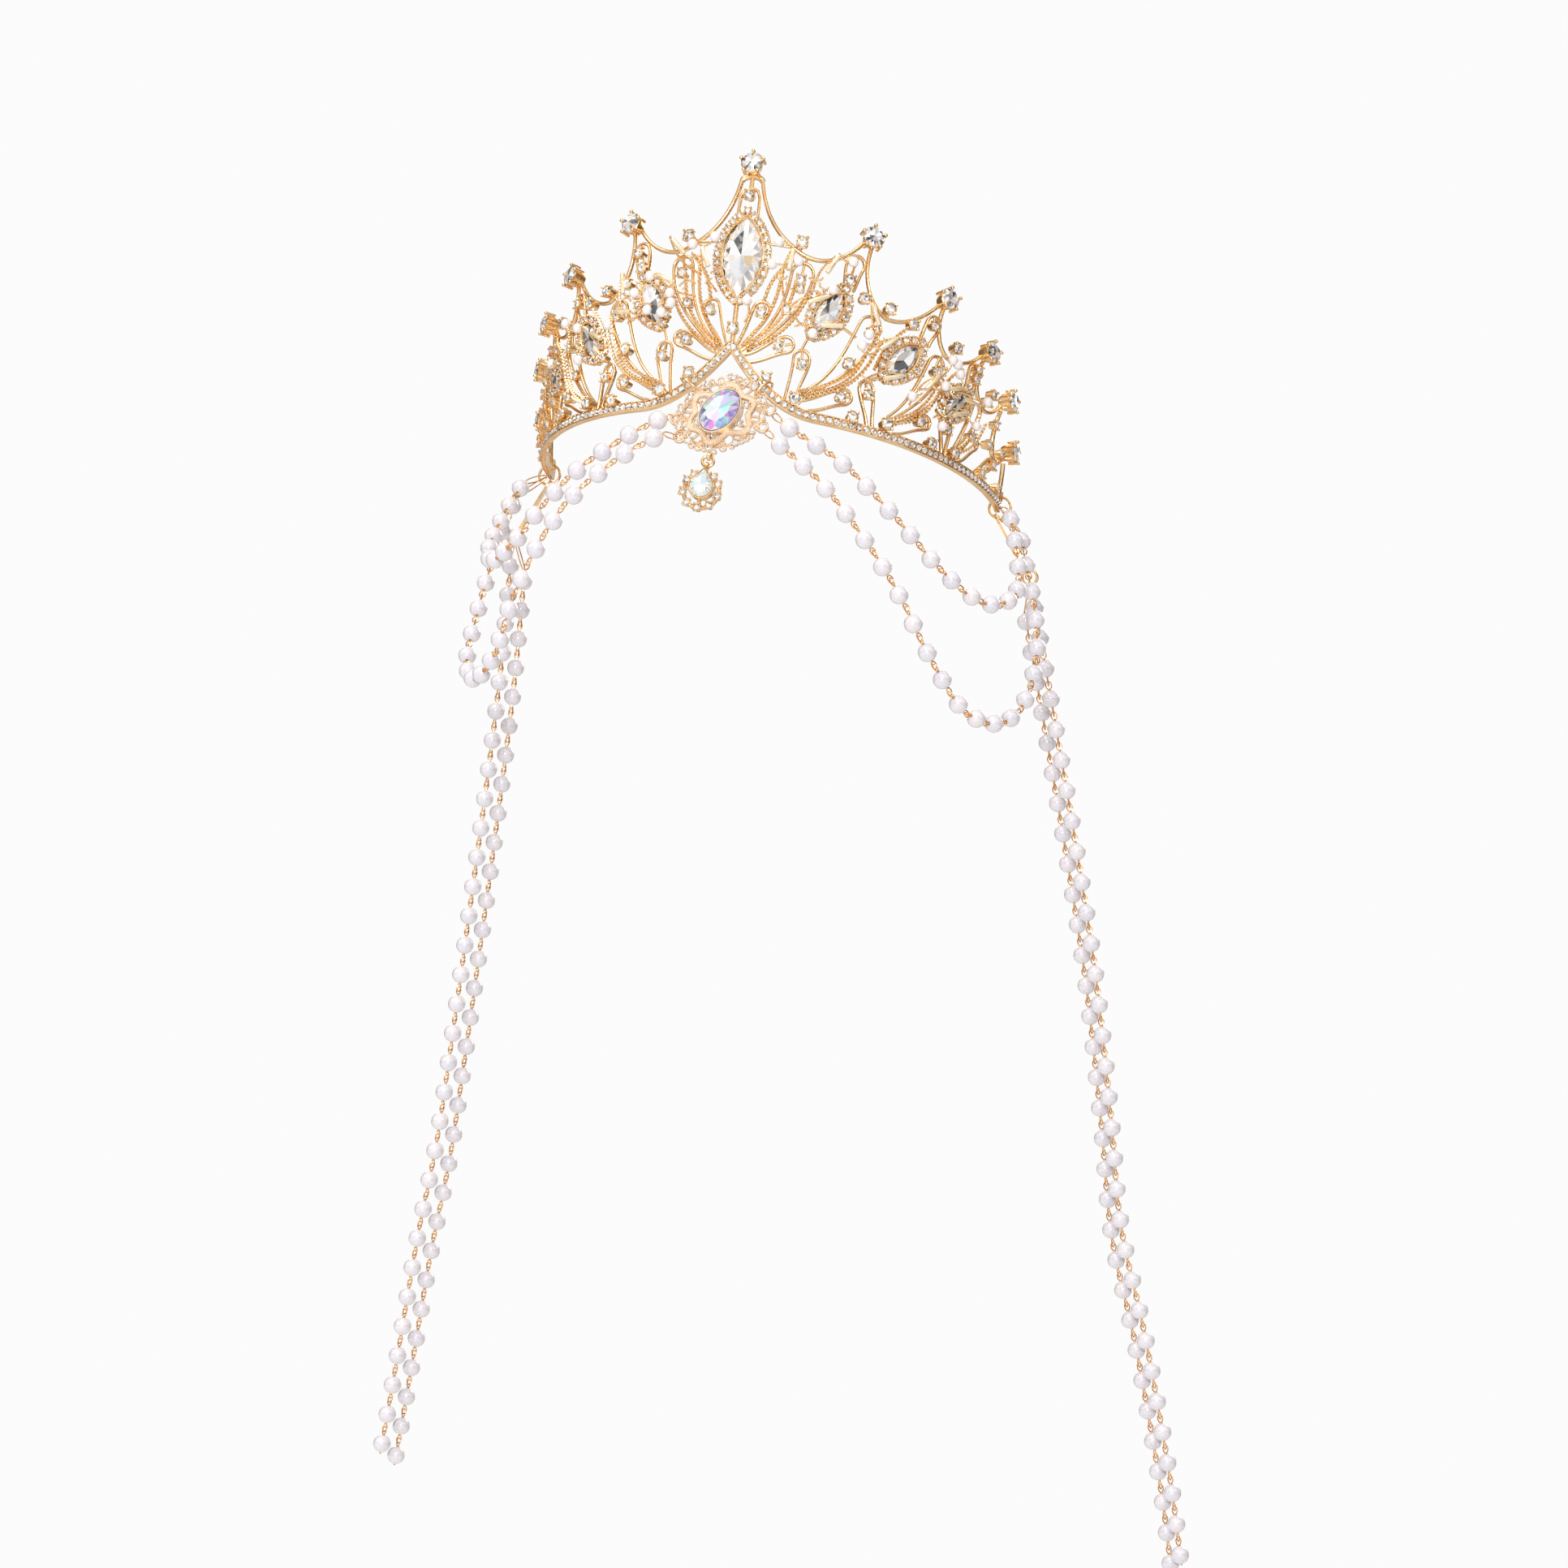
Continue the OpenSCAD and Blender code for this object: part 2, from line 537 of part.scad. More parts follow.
// The end ring hangs through the band's eye, the clasp from the end ring, and the tail ring from the clasp
end_mean = 7.2;
tail_mean = 5;
clasp_reach = 19.4;
function eye_point() = wall(eye_arc, eye_height);
function ring_middle() = eye_point() + [0.5, 0, -end_mean / 2 + 0.1];
hang = unit([0.522, 0.395, -0.756]);
side_way = unit([1, 0, 0] - hang[0] * hang);
function clasp_top() = ring_middle() + [0, 0, -end_mean / 2 - 0.4];
function clasp_foot() = clasp_top() + clasp_reach * hang;
function tail_middle() = clasp_foot() + (tail_mean / 2) * hang;

// Moves a part so that its X runs along u and its Y along v
module framed(p, u, v) {
    w = cross(u, v);
    multmatrix([[u[0], v[0], w[0], p[0]], [u[1], v[1], w[1], p[1]], [u[2], v[2], w[2], p[2]], [0, 0, 0, 1]])
        children();
}

module end_ring(side) {
    color("goldenrod") mirror([side < 0 ? 1 : 0, 0, 0])
        translate(ring_middle()) rotate([90, 0, 0]) ring(end_mean, 0.9);
}

module clasp(side) {
    color("goldenrod") mirror([side < 0 ? 1 : 0, 0, 0])
        framed(clasp_top(), cross(hang, side_way), hang)
            translate([0, 0, -0.5])
                linear_extrude(1)
                    difference() {
                        union() {
                            circle(d = 4.4);
                            translate([0, clasp_reach * 0.55]) circle(d = 6.4);
                            translate([-1.7, 0.4]) square([3.4, clasp_reach - 1]);
                            translate([0, clasp_reach]) circle(d = 4.2);
                        }
                        circle(d = 3.4);
                        translate([0, clasp_reach * 0.55]) circle(d = 3.4);
                        translate([0, clasp_reach]) circle(d = 2.4);
                    }
}

module tail_ring(side) {
    color("goldenrod") mirror([side < 0 ? 1 : 0, 0, 0])
        framed(tail_middle(), side_way, hang) ring(tail_mean, 1);
}

// Smooth path through points, k steps a stretch
function smooth(points, k) = let(m = len(points) - 1) concat(
    [for (i = [0:m - 1], j = [0:k - 1]) let(
        t = j / k,
        p = [for (n = [-1:2]) points[min(max(i + n, 0), m)]]
    ) p[1] + 0.5 * t * (p[2] - p[0]) + t * t * (p[0] - 2.5 * p[1] + 2 * p[2] - 0.5 * p[3])
        + t * t * t * (1.5 * (p[1] - p[2]) + 0.5 * (p[3] - p[0]))],
    [points[m]]
);
function lengths(path, i = 0, sum = 0) = i >= len(path) ? []
    : let(now = i == 0 ? 0 : sum + norm(path[i] - path[i - 1])) concat([now], lengths(path, i + 1, now));
// Point and direction at length s of a path
function along(path, ls, s) = let(
    i = max([0, for (k = [0:len(ls) - 2]) if (ls[k] <= s) k]),
    t = (s - ls[i]) / (ls[i + 1] - ls[i])
) [path[i] + t * (path[i + 1] - path[i]), unit(path[min(i + 2, len(path) - 1)] - path[max(i - 1, 0)])];
// Places of the pearls along a path, from its start to its end
function pearl_places(path) =
    let(ls = lengths(path), total = ls[len(ls) - 1], steps = round(total / pearl_step))
        [for (i = [0:steps]) along(path, ls, total * i / steps)];

function draped(rows) = smooth([for (row = rows) [row[2] * sin(row[0]), -row[2] * cos(row[0]), row[1]]], 6);
function strand(side, twin) =
    smooth([for (p = side > 0 ? RIGHT_STRAND : LEFT_STRAND) p + (twin ? TWIN : [0, 0, 0])], 4);

module pearls(side, places) {
    color("seashell") mirror([side < 0 ? 1 : 0, 0, 0])
        for (place = places)
            let(d = place[1])
                translate(place[0])
                    rotate([0, acos(d[2]), atan2(d[1], d[0])])
                        difference() {
                            sphere(d = pearl_d);
                            cylinder(d = pearl_hole, h = pearl_d + 2, center = true);
                        }
}

// Wire through the pearls, straight inside the first ones, and inside all of them where the chain bends much.
// Its start and end are given as short lists of points
module pearl_wire(side, places, start, end, bends) {
    middle = [for (i = [0:len(places) - 1]) let(p = places[i][0], d = places[i][1])
        each bends || i < 2 ? [p - 3.3 * d, p + 3.3 * d] : [p]];
    path = concat(start, middle, end);
    m = len(path) - 1;
    r = chain_wire / 2;
    color("goldenrod") mirror([side < 0 ? 1 : 0, 0, 0])
        skin([for (i = [0:m]) let(
            t = unit(path[min(i + 1, m)] - path[max(i - 1, 0)]),
            u = unit(cross(t, abs(t[0]) < 0.8 ? [1, 0, 0] : [0, 1, 0])),
            v = cross(t, u)
        ) [for (q = [0:72:288]) path[i] + r * (cos(q) * u + sin(q) * v)]]);
}

// Bend of a wire round a ring's wire: p is the place, across runs over it and inward points into the ring
function hook(p, across, inward) = [p - 1.5 * across, p + 1.5 * inward, p + 1.5 * across - 0.4 * inward];
// Bend through an eye of the brooch
function eye_hook(side, i) = let(eye = brooch_eye(side, i)) [for (o = [-1, 0, 1])
    let(p = brow_point(eye[0] + side * (o == 0 ? -0.3 : 1.3), eye[1], brooch_t / 2 + o * 2.3))
        [side * p[0], p[1], p[2]]];

function upper_places(side) = pearl_places(draped(side > 0 ? UPPER_RIGHT : UPPER_LEFT));
function lower_places(side) = pearl_places(draped(side > 0 ? LOWER_RIGHT : LOWER_LEFT));
function long_places(side, twin) = pearl_places(strand(side, twin));
// Place on the end ring at an angle from its lowest point, and the direction from there to its middle
function ring_side(q) = ring_middle() - end_mean / 2 * inward(q);
function inward(q) = [-sin(q), 0, cos(q)];

module upper_pearls(side) { pearls(side, upper_places(side)); }
module lower_pearls(side) { pearls(side, lower_places(side)); }
module upper_wire(side) {
    pearl_wire(side, upper_places(side), eye_hook(side, 0), hook(ring_side(75), [0, 1, 0], inward(75)), true);
}
module lower_wire(side) {
    pearl_wire(side, lower_places(side), eye_hook(side, 1), hook(ring_side(38), [0, 1, 0], inward(38)), true);
}
module long_pearls(side, twin) { pearls(side, long_places(side, twin)); }
module long_wire(side, twin) {
    q = twin ? -32 : 32;
    reach = cos(q) * hang + sin(q) * side_way;
    places = long_places(side, twin);
    last = places[len(places) - 1];
    pearl_wire(side, places, hook(tail_middle() + tail_mean / 2 * reach, cross(side_way, hang), -reach),
        [last[0] + 3.6 * last[1]], false);
}

crown_frame();
brooch_frame();
brooch_stone();
brooch_ring(1);  // brooch_ring_right
brooch_ring(-1);  // brooch_ring_left
drop_ring();
drop_frame();
drop_stone();
spire_stone(1, 0);  // spire_stone_middle
marquise_stone(1, 0);  // marquise_middle
for (side = [1, -1]) {
    name = side > 0 ? "right" : "left";
    for (i = [1:5])
        spire_stone(side, i);
    for (i = [1:3])
        marquise_stone(side, i);
    end_ring(side);
    clasp(side);
    tail_ring(side);
    upper_pearls(side);
    upper_wire(side);
    lower_pearls(side);
    lower_wire(side);
    long_pearls(side, false);
    long_wire(side, false);
    long_pearls(side, true);
    long_wire(side, true);
}
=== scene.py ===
"""Gilt openwork crown with a brooch, a drop and swagged pearl chains, dressed for its picture.

Lengths are millimetres and become metres where a mesh is made. A place on the crown's wall is given as arc
and height: the length along the band from the front middle, and the height above the band's foot.
"""

import bpy
import numpy as np
from mathutils import Matrix, Vector


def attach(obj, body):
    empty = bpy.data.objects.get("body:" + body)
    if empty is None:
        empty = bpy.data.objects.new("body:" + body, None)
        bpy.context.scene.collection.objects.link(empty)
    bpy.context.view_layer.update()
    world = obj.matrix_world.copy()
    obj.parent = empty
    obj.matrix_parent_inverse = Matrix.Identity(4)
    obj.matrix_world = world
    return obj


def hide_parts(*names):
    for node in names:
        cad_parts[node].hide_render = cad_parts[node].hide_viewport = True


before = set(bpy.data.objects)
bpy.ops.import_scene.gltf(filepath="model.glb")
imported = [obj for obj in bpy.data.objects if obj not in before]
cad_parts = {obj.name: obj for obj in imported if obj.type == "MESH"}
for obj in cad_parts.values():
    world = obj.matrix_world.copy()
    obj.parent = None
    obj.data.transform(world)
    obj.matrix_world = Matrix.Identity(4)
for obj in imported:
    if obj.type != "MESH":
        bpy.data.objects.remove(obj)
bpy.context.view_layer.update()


# View, floor and light
# The crown is seen from in front, a little from the viewer's right and from below, as a lens of 79 mm sees
# it. A pale floor lies well under the strands. The light is soft, and the room's dark sides give the metal
# brown edges.
class Signal:
    """An output socket of a node tree. A sum or a product written on it adds a Math node."""

    def __init__(self, nodes, socket):
        self.nodes = nodes
        self.socket = socket

    def math(self, operation, *values):
        return self.nodes.add("ShaderNodeMath", {"operation": operation}, dict(enumerate(values)))

    def __add__(self, other):
        return self.math("ADD", self, other)

    def __mul__(self, other):
        return self.math("MULTIPLY", self, other)

    __radd__ = __add__
    __rmul__ = __mul__


class Nodes:
    """An emptied node tree. Its add makes a node from a type, its settings and the values or links of its
    sockets, and gives back one of its outputs."""

    def __init__(self, tree):
        self.tree = tree
        tree.nodes.clear()

    def add(self, kind, settings={}, sockets={}, out=0):
        node = self.tree.nodes.new(kind)
        for name, value in settings.items():
            if name == "stops":
                self.stops(node.color_ramp, value)
            else:
                setattr(node, name, value)
        for name, value in sockets.items():
            if isinstance(value, Signal):
                self.tree.links.new(value.socket, node.inputs[name])
            else:
                node.inputs[name].default_value = value
        return Signal(self, node.outputs[out]) if len(node.outputs) else node

    def stops(self, ramp, rows):
        """Gives a colour ramp its rows of position and colour. A new ramp has two stops."""
        for position, colour in rows[2:]:
            ramp.elements.new(position)
        for element, (position, colour) in zip(ramp.elements, sorted(rows)):
            element.position = position
            element.color = (*colour, 1)

    def ramp(self, signal, *rows):
        return self.add("ShaderNodeValToRGB", {"stops": rows}, {0: signal})

    def mixed(self, share, first, second, blend="MIX"):
        colours = [c if isinstance(c, Signal) else (*c, 1) for c in (first, second)]
        settings = {"data_type": "RGBA", "blend_type": blend}
        return self.add("ShaderNodeMix", settings, {0: share, 6: colours[0], 7: colours[1]}, out=2)


def grey(value):
    """A colour whose three parts are equal."""
    return (value, value, value)


# The camera's place in millimetres, and its directions to the right, up and ahead
to_right = np.array([0.97397, 0.18113, 0.13631])
to_top = np.array([-0.08889, -0.24796, 0.96468])
ahead = np.array([-0.20854, 0.95169, 0.22540])
eye = np.array([253.2, -1071.4, -353.1])
lens = bpy.data.cameras.new("view")
lens.sensor_width = 36
lens.lens = 78.82
view = bpy.data.objects.new("view", lens)
view.matrix_world = Matrix([*np.column_stack([to_right, to_top, -ahead, eye / 1000]).tolist(), [0, 0, 0, 1]])
bpy.context.scene.collection.objects.link(view)
bpy.context.scene.camera = view
bpy.context.scene.view_settings.view_transform = "Standard"

floor_mesh = bpy.data.meshes.new("floor")
floor_level, floor_reach = -0.52, 2
floor_corners = [(x * floor_reach, y * floor_reach, floor_level)
    for x, y in ((-1, -1), (1, -1), (1, 1), (-1, 1))]
floor_mesh.from_pydata(floor_corners, [], [(0, 1, 2, 3)])
floor = bpy.data.objects.new("floor", floor_mesh)
bpy.context.scene.collection.objects.link(floor)
floor_paint = bpy.data.materials.new("pale floor")
floor_paint.use_nodes = True
paint = Nodes(floor_paint.node_tree)
floor_place = paint.add("ShaderNodeTexCoord", out=3)
cloudy = paint.add("ShaderNodeTexNoise", {}, {"Vector": floor_place, "Scale": 3.0})
floor_skin = paint.add("ShaderNodeBsdfPrincipled", {}, {
    "Base Color": paint.ramp(cloudy, (0.3, grey(0.8)), (0.7, grey(0.86))), "Roughness": 0.7})
paint.add("ShaderNodeOutputMaterial", {}, {0: floor_skin})
floor_mesh.materials.append(floor_paint)

room = bpy.data.worlds.new("soft room")
bpy.context.scene.world = room
room.use_nodes = True
sky = Nodes(room.node_tree)
way = sky.add("ShaderNodeTexCoord")
split = sky.add("ShaderNodeSeparateXYZ", {}, {0: way}).socket.node
x_way, z_way = Signal(sky, split.outputs[0]), Signal(sky, split.outputs[2])
# What the metal mirrors, by height and by side. The camera itself sees an even grey.
rise = sky.ramp(z_way * 0.5 + 0.5, (0.0, (0.3, 0.28, 0.25)), (0.3, (0.08, 0.05, 0.035)),
    (0.42, (0.12, 0.08, 0.06)), (0.5, grey(0.26)), (0.58, grey(0.44)), (0.66, grey(0.26)), (0.74, grey(0.9)),
    (0.8, grey(0.9)), (0.86, grey(0.3)), (1.0, grey(0.3)))
flags = sky.ramp(x_way.math("ABSOLUTE", x_way), (0.0, grey(1)), (0.45, grey(1)), (0.6, (0.3, 0.22, 0.16)),
    (1.0, (0.22, 0.15, 0.1)))
seen = sky.add("ShaderNodeLightPath")
lit = sky.mixed(1.0, rise, flags, "MULTIPLY")
sky.add("ShaderNodeOutputWorld", {}, {0: sky.add("ShaderNodeBackground", {}, {
    "Color": sky.mixed(seen, lit, grey(0.485)), "Strength": 2.0})})


def softbox(name, place, size, power):
    """A round soft lamp of that width in metres, turned towards the foot of the crown."""
    lamp = bpy.data.lights.new(name, "AREA")
    lamp.shape = "DISK"
    lamp.size = size
    lamp.energy = power
    holder = bpy.data.objects.new(name, lamp)
    back = Vector(place) - Vector((0, 0, -0.05))
    holder.matrix_world = Matrix.Translation(place) @ back.to_track_quat("Z", "Y").to_matrix().to_4x4()
    bpy.context.scene.collection.objects.link(holder)


softbox("eye light", (0.12, -1.35, -0.08), 0.2, 6)
softbox("upper light", (-0.5, -0.8, 1.1), 0.7, 6)
softbox("left light", (-1.1, -0.6, 0.3), 1.0, 1.8)
softbox("right light", (1.1, -0.7, 0.5), 1.0, 1.8)
softbox("back light", (0.5, 0.9, 0.7), 0.6, 2)


# The band
# A narrow strip of gilt brass with a channel on its front, in which a row of clear stones is set between two
# rims. It is level at the sides and rises to a point in the front middle. Between the stones stand pairs of
# claws.
class Work:
    """Points in millimetres with groups of faces. The faces of a group have equally many corners."""

    def __init__(self, points, *groups):
        self.points = np.asarray(points, float)
        self.groups = [np.asarray(group, int) for group in groups if len(group)]

    def repeated(self, places, axes, sizes=1.0):
        """The shape at each place: its X, Y and Z along the rows of the axes there, times the size there."""
        places = np.reshape(places, (-1, 3))
        axes = np.broadcast_to(axes, (len(places), 3, 3))
        sizes = np.broadcast_to(sizes, len(places))
        points = places[:, None] + np.einsum("npi,nij->npj", self.points[None] * sizes[:, None, None], axes)
        starts = np.arange(len(places))[:, None, None] * len(self.points)
        groups = [(group[None] + starts).reshape(-1, group.shape[1]) for group in self.groups]
        return Work(points.reshape(-1, 3), *groups)


def joined(works):
    """One work of many: the point numbers of each are moved past those of the works before it."""
    works = list(works)
    starts = np.cumsum([0] + [len(work.points) for work in works])
    groups = [group + start for work, start in zip(works, starts) for group in work.groups]
    widths = sorted({group.shape[1] for group in groups})
    return Work(np.concatenate([work.points for work in works]),
        *[np.concatenate([group for group in groups if group.shape[1] == width]) for width in widths])


def unit(vectors):
    """Each vector over its own length."""
    return vectors / np.linalg.norm(vectors, axis=-1, keepdims=True)


def tube(rings, closed=False):
    """The skin over rings of points, from ring to ring, with flat ends or joined into a ring."""
    m, n = rings.shape[:2]
    i, k = np.meshgrid(np.arange(m if closed else m - 1), np.arange(n), indexing="ij")
    i, k = i.ravel(), k.ravel()
    ring, point = (i + 1) % m, (k + 1) % n
    sides = np.column_stack([i * n + k, ring * n + k, ring * n + point, i * n + point])
    ends = [] if closed else [np.arange(n), np.arange(m * n - 1, m * n - n - 1, -1)]
    return Work(rings.reshape(-1, 3), sides, np.array(ends))


def carried(path, out, profile, closed=False):
    """A profile carried along a path. A profile point (across, depth) lies that far along the path's side and
    along its outward direction; the side is the path's direction crossed with the outward one."""
    if closed:
        onward = unit(np.roll(path, -1, 0) - np.roll(path, 1, 0))
    else:
        onward = unit(np.gradient(path, axis=0))
    side = unit(np.cross(onward, out))
    depth = np.cross(side, onward)
    profile = np.broadcast_to(profile, (len(path),) + np.shape(profile)[-2:])
    return tube(path[:, None] + profile[..., :1] * side[:, None] + profile[..., 1:] * depth[:, None], closed)


def turned_round(profile, n):
    """A profile of radius and height, turned round the Z axis in n steps."""
    q = -2 * np.pi * np.arange(n) / n
    r, z = np.transpose(profile)
    return tube(np.stack([np.outer(r, np.cos(q)), np.outer(r, np.sin(q)), np.outer(z, np.ones(n))], -1))


band_radius = 80
wall_lean = 5
width_share = 0.96


def wall(arc, height, out=0.0):
    """The point at arc and height: its angle is the arc over the band's radius. Its distance from the axis is
    the radius, plus the height times the tangent of the lean in degrees, plus out. The crown is narrower than
    deep by the width's share."""
    arc, height, out = np.broadcast_arrays(arc, height, out)
    turn, reach = arc / band_radius, band_radius + height * np.tan(np.radians(wall_lean)) + out
    return np.stack([width_share * reach * np.sin(turn), -reach * np.cos(turn), height + 0.0], -1)


def away(path):
    """The level direction outwards at each point of a path round the crown."""
    return unit(path * [1, 1, 0])


def riding(path, out, distances):
    """Places at distances along a path, and rows of axes there: along it, across it and outwards."""
    length = np.concatenate([[0], np.cumsum(np.linalg.norm(np.diff(path, axis=0), axis=1))])
    onward = unit(np.gradient(path, axis=0))
    place, along, outward = [np.stack([np.interp(distances, length, v[:, i]) for i in range(3)], -1)
        for v in (path, onward, out)]
    along = unit(along)
    outward = unit(outward - along * np.sum(along * outward, -1, keepdims=True))
    return place, np.stack([along, np.cross(outward, along), outward], 1)


def path_length(path):
    """The sum of the steps between a path's points."""
    return np.linalg.norm(np.diff(path, axis=0), axis=1).sum()


def brilliant(outline, table, crown, pavilion):
    """A cut stone over an outline of an even number of corners. Its girdle is the outline. Halfway corners lie
    at 0.87 of the middles of its sides, at 0.6 of the crown's height, and the table is the outline times a
    share. The table's slices of two corners each, which sink to 0.8 of the height in the middle, stand for
    the broad facets of the back that are seen through it. The back runs to a point at the pavilion's depth."""
    n = len(outline)
    k = np.arange(n)
    after = (k + 1) % n
    halfway = (outline + outline[after]) / 2 * 0.87
    flat = np.concatenate([outline, halfway, outline * table, [[0, 0], [0, 0]]])
    level = np.repeat([0, 0.6 * crown, crown, 0.8 * crown, -pavilion], [n, n, n, 1, 1])
    threes = [np.column_stack(c) for c in ([2 * n + k, n + k, 2 * n + after], [k, after, n + k],
        [0 * k + 3 * n + 1, after, k])]
    kites = np.column_stack([2 * n + k, n + (k - 1) % n, k, n + k])
    even = k[::2]
    slices = np.column_stack([0 * even + 3 * n, 2 * n + even, 2 * n + even + 1, 2 * n + (even + 2) % n])
    return Work(np.column_stack([flat, level]), np.concatenate(threes), np.concatenate([kites, slices]))


def oval(length, width, n):
    """Points of an ellipse: half the width times the cosine, and half the length times the sine."""
    q = 2 * np.pi * (np.arange(n) + 0.5) / n
    return np.column_stack([width / 2 * np.cos(q), length / 2 * np.sin(q)])


def piece(name, work, finish, smooth=40, reflection_seed=None, shown_reflections=(), stands_for=()):
    """A mesh object of a work, in metres, on the crown's body. Edges sharper than smooth, in degrees, stay
    sharp, and 0 leaves all faces flat. A seed draws a random painted reflection for each face, a value on the
    stone's colour scale, and the values shown set the painted reflections of the last faces: the slices of the
    last stone's table, and before them its kites."""
    mesh = bpy.data.meshes.new(name)
    corners = np.concatenate([group.ravel() for group in work.groups])
    widths = np.concatenate([np.full(len(group), group.shape[1]) for group in work.groups])
    mesh.vertices.add(len(work.points))
    mesh.vertices.foreach_set("co", (work.points / 1000).ravel())
    mesh.loops.add(len(corners))
    mesh.loops.foreach_set("vertex_index", corners)
    mesh.polygons.add(len(widths))
    mesh.polygons.foreach_set("loop_start", np.cumsum(widths) - widths)
    mesh.update(calc_edges=True)
    if smooth:
        mesh.polygons.foreach_set("use_smooth", np.ones(len(widths), bool))
        mesh.set_sharp_from_angle(angle=np.radians(smooth))
    else:
        mesh.polygons.foreach_set("use_smooth", np.zeros(len(widths), bool))
    # Each face gets a painted reflection value, which the crystal finish turns into its colour.
    if reflection_seed is not None:
        values = np.random.default_rng(reflection_seed).random(len(widths))
        values[len(values) - len(shown_reflections):] = shown_reflections
        mesh.attributes.new("tint", "FLOAT", "FACE").data.foreach_set("value", values.astype(np.float32))
    mesh.materials.append(finish)
    made = bpy.data.objects.new(name, mesh)
    bpy.context.scene.collection.objects.link(made)
    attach(made, "root")
    if stands_for:
        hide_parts(*stands_for)
    return made


def finish(name):
    """A new material and its empty node tree."""
    paint = bpy.data.materials.new(name)
    paint.use_nodes = True
    return paint, Nodes(paint.node_tree)


def gilding(name, colour, deep, rough, grain):
    """Polished gilt metal. Its colour deepens in soft clouds, fine handling marks dull it, and the cast skin
    is a little uneven, with pits of the given grain."""
    paint, nodes = finish(name)
    place = nodes.add("ShaderNodeTexCoord", out=3)
    clouds = nodes.add("ShaderNodeTexNoise", {}, {"Vector": place, "Scale": 160.0, "Detail": 3.0})
    marks = nodes.add("ShaderNodeTexNoise", {}, {"Vector": place, "Scale": 2600.0, "Detail": 2.0})
    pits = nodes.add("ShaderNodeTexNoise", {}, {"Vector": place, "Scale": grain, "Detail": 2.0})
    worn = nodes.ramp(clouds * 0.75 + marks * 0.25, (0.38, grey(0)), (0.62, grey(1)))
    hammer = nodes.add("ShaderNodeTexNoise", {}, {"Vector": place, "Scale": 420.0, "Detail": 1.0})
    relief = nodes.add("ShaderNodeBump", {}, {
        "Strength": 0.26, "Distance": 0.0004, "Height": pits * 0.3 + hammer})
    skin = nodes.add("ShaderNodeBsdfPrincipled", {}, {
        "Base Color": nodes.mixed(worn, deep, colour), "Metallic": 1.0,
        "Roughness": marks * 0.16 + clouds * 0.1 + rough, "Normal": relief})
    nodes.add("ShaderNodeOutputMaterial", {}, {0: skin})
    return paint


def crystal(name, *colours):
    """Foiled glass with painted reflections. Each facet's colour is a painted reflection, lighter or darker by
    its value, and finer painted glints break up the large facets. The colours are the stops of that scale."""
    paint, nodes = finish(name)
    tint = nodes.add("ShaderNodeAttribute", {"attribute_name": "tint"}, out=2)
    place = nodes.add("ShaderNodeTexCoord", out=3)
    painted_glint_cells = nodes.add("ShaderNodeTexVoronoi", {}, {"Vector": place, "Scale": 420.0}, out=1)
    painted_glints = nodes.add("ShaderNodeSeparateColor", {}, {0: painted_glint_cells})
    # The facet's base colour: its painted reflection, broken up by painted glints.
    painted_reflection_colour = nodes.ramp(tint * 0.86 + painted_glints * 0.14, *colours)
    haze = nodes.add("ShaderNodeTexNoise", {}, {"Vector": place, "Scale": 900.0})
    skin = nodes.add("ShaderNodeBsdfPrincipled", {}, {
        "Base Color": painted_reflection_colour, "Metallic": 0.45, "Roughness": haze * 0.06 + 0.03, "Coat Weight": 1.0,
        "Coat Roughness": 0.02})
    nodes.add("ShaderNodeOutputMaterial", {}, {0: skin})
    return paint


gilt = gilding("light gilt", (0.98, 0.74, 0.44), (0.9, 0.58, 0.28), 0.12, 900.0)
# The stops are painted reflections on the facets: dark, grey, white, and a warm glint of gold.
bright = crystal("bright foiled glass", (0.0, (0.08, 0.08, 0.09)), (0.14, (0.32, 0.32, 0.33)),
    (0.28, (0.74, 0.75, 0.77)), (0.45, (0.95, 0.96, 0.98)), (0.78, (1.0, 1.0, 1.0)),
    (0.92, (0.92, 0.76, 0.56)))


side_level, point_rise, point_reach = 1.2, 20, 31  # of the band's middle line


def band_height(arc):
    """The side's level. Within the point's reach of the middle it rises by the point's rise times
    (1 - arc / reach) to the power 2.15."""
    return side_level + point_rise * np.clip(1 - np.abs(arc) / point_reach, 0, 1) ** 2.15


band_end = 127
band_arcs = np.linspace(-band_end, band_end, 381)
band_path = wall(band_arcs, band_height(band_arcs))
channel = np.array([(1.6, -0.9), (1.6, 0.7), (1.5, 0.85), (1.2, 0.85), (1.15, 0.35), (-1.15, 0.35),
    (-1.2, 0.85), (-1.5, 0.85), (-1.6, 0.7), (-1.6, -0.9)])
band = carried(band_path, away(band_path), channel)

small_stone = brilliant(oval(2, 2, 8), 0.56, 0.45, 0.5)
claw = turned_round([(0.34, -1.2), (0.3, -0.1), (0.5, 0.25), (0.5, 0.6), (0.2, 0.85)], 6)
stone_pitch, stone_radius, stone_stand, claw_size = 2.5, 1.15, 0.6, 0.62
stone_count = round(path_length(band_path) / stone_pitch)
stone_steps = (np.arange(stone_count) + 0.5) * path_length(band_path) / stone_count
places, axes = riding(band_path, away(band_path), stone_steps)
row_stones = small_stone.repeated(places + stone_stand * axes[:, 2], axes, stone_radius)
places, axes = riding(band_path, away(band_path), stone_steps[:-1] + stone_pitch / 2)
row_claws = [claw.repeated(places + stone_stand * axes[:, 2] + rim * axes[:, 1], axes, claw_size)
    for rim in (-0.98, 0.98)]
piece("band", joined([band, *row_claws]), gilt, stands_for=["crown_frame"])
piece("band_stones", row_stones, bright, smooth=0, reflection_seed=11)


# The openwork
# Crest wires of cast and gilt brass run from spire to spire. Teardrop loops grow from the band in fans, and
# short bars of solder join what touches. All are flat bars with rounded edges, and the left side mirrors the
# right.
spread = 1.03  # how far the tables' arcs are spread along the band
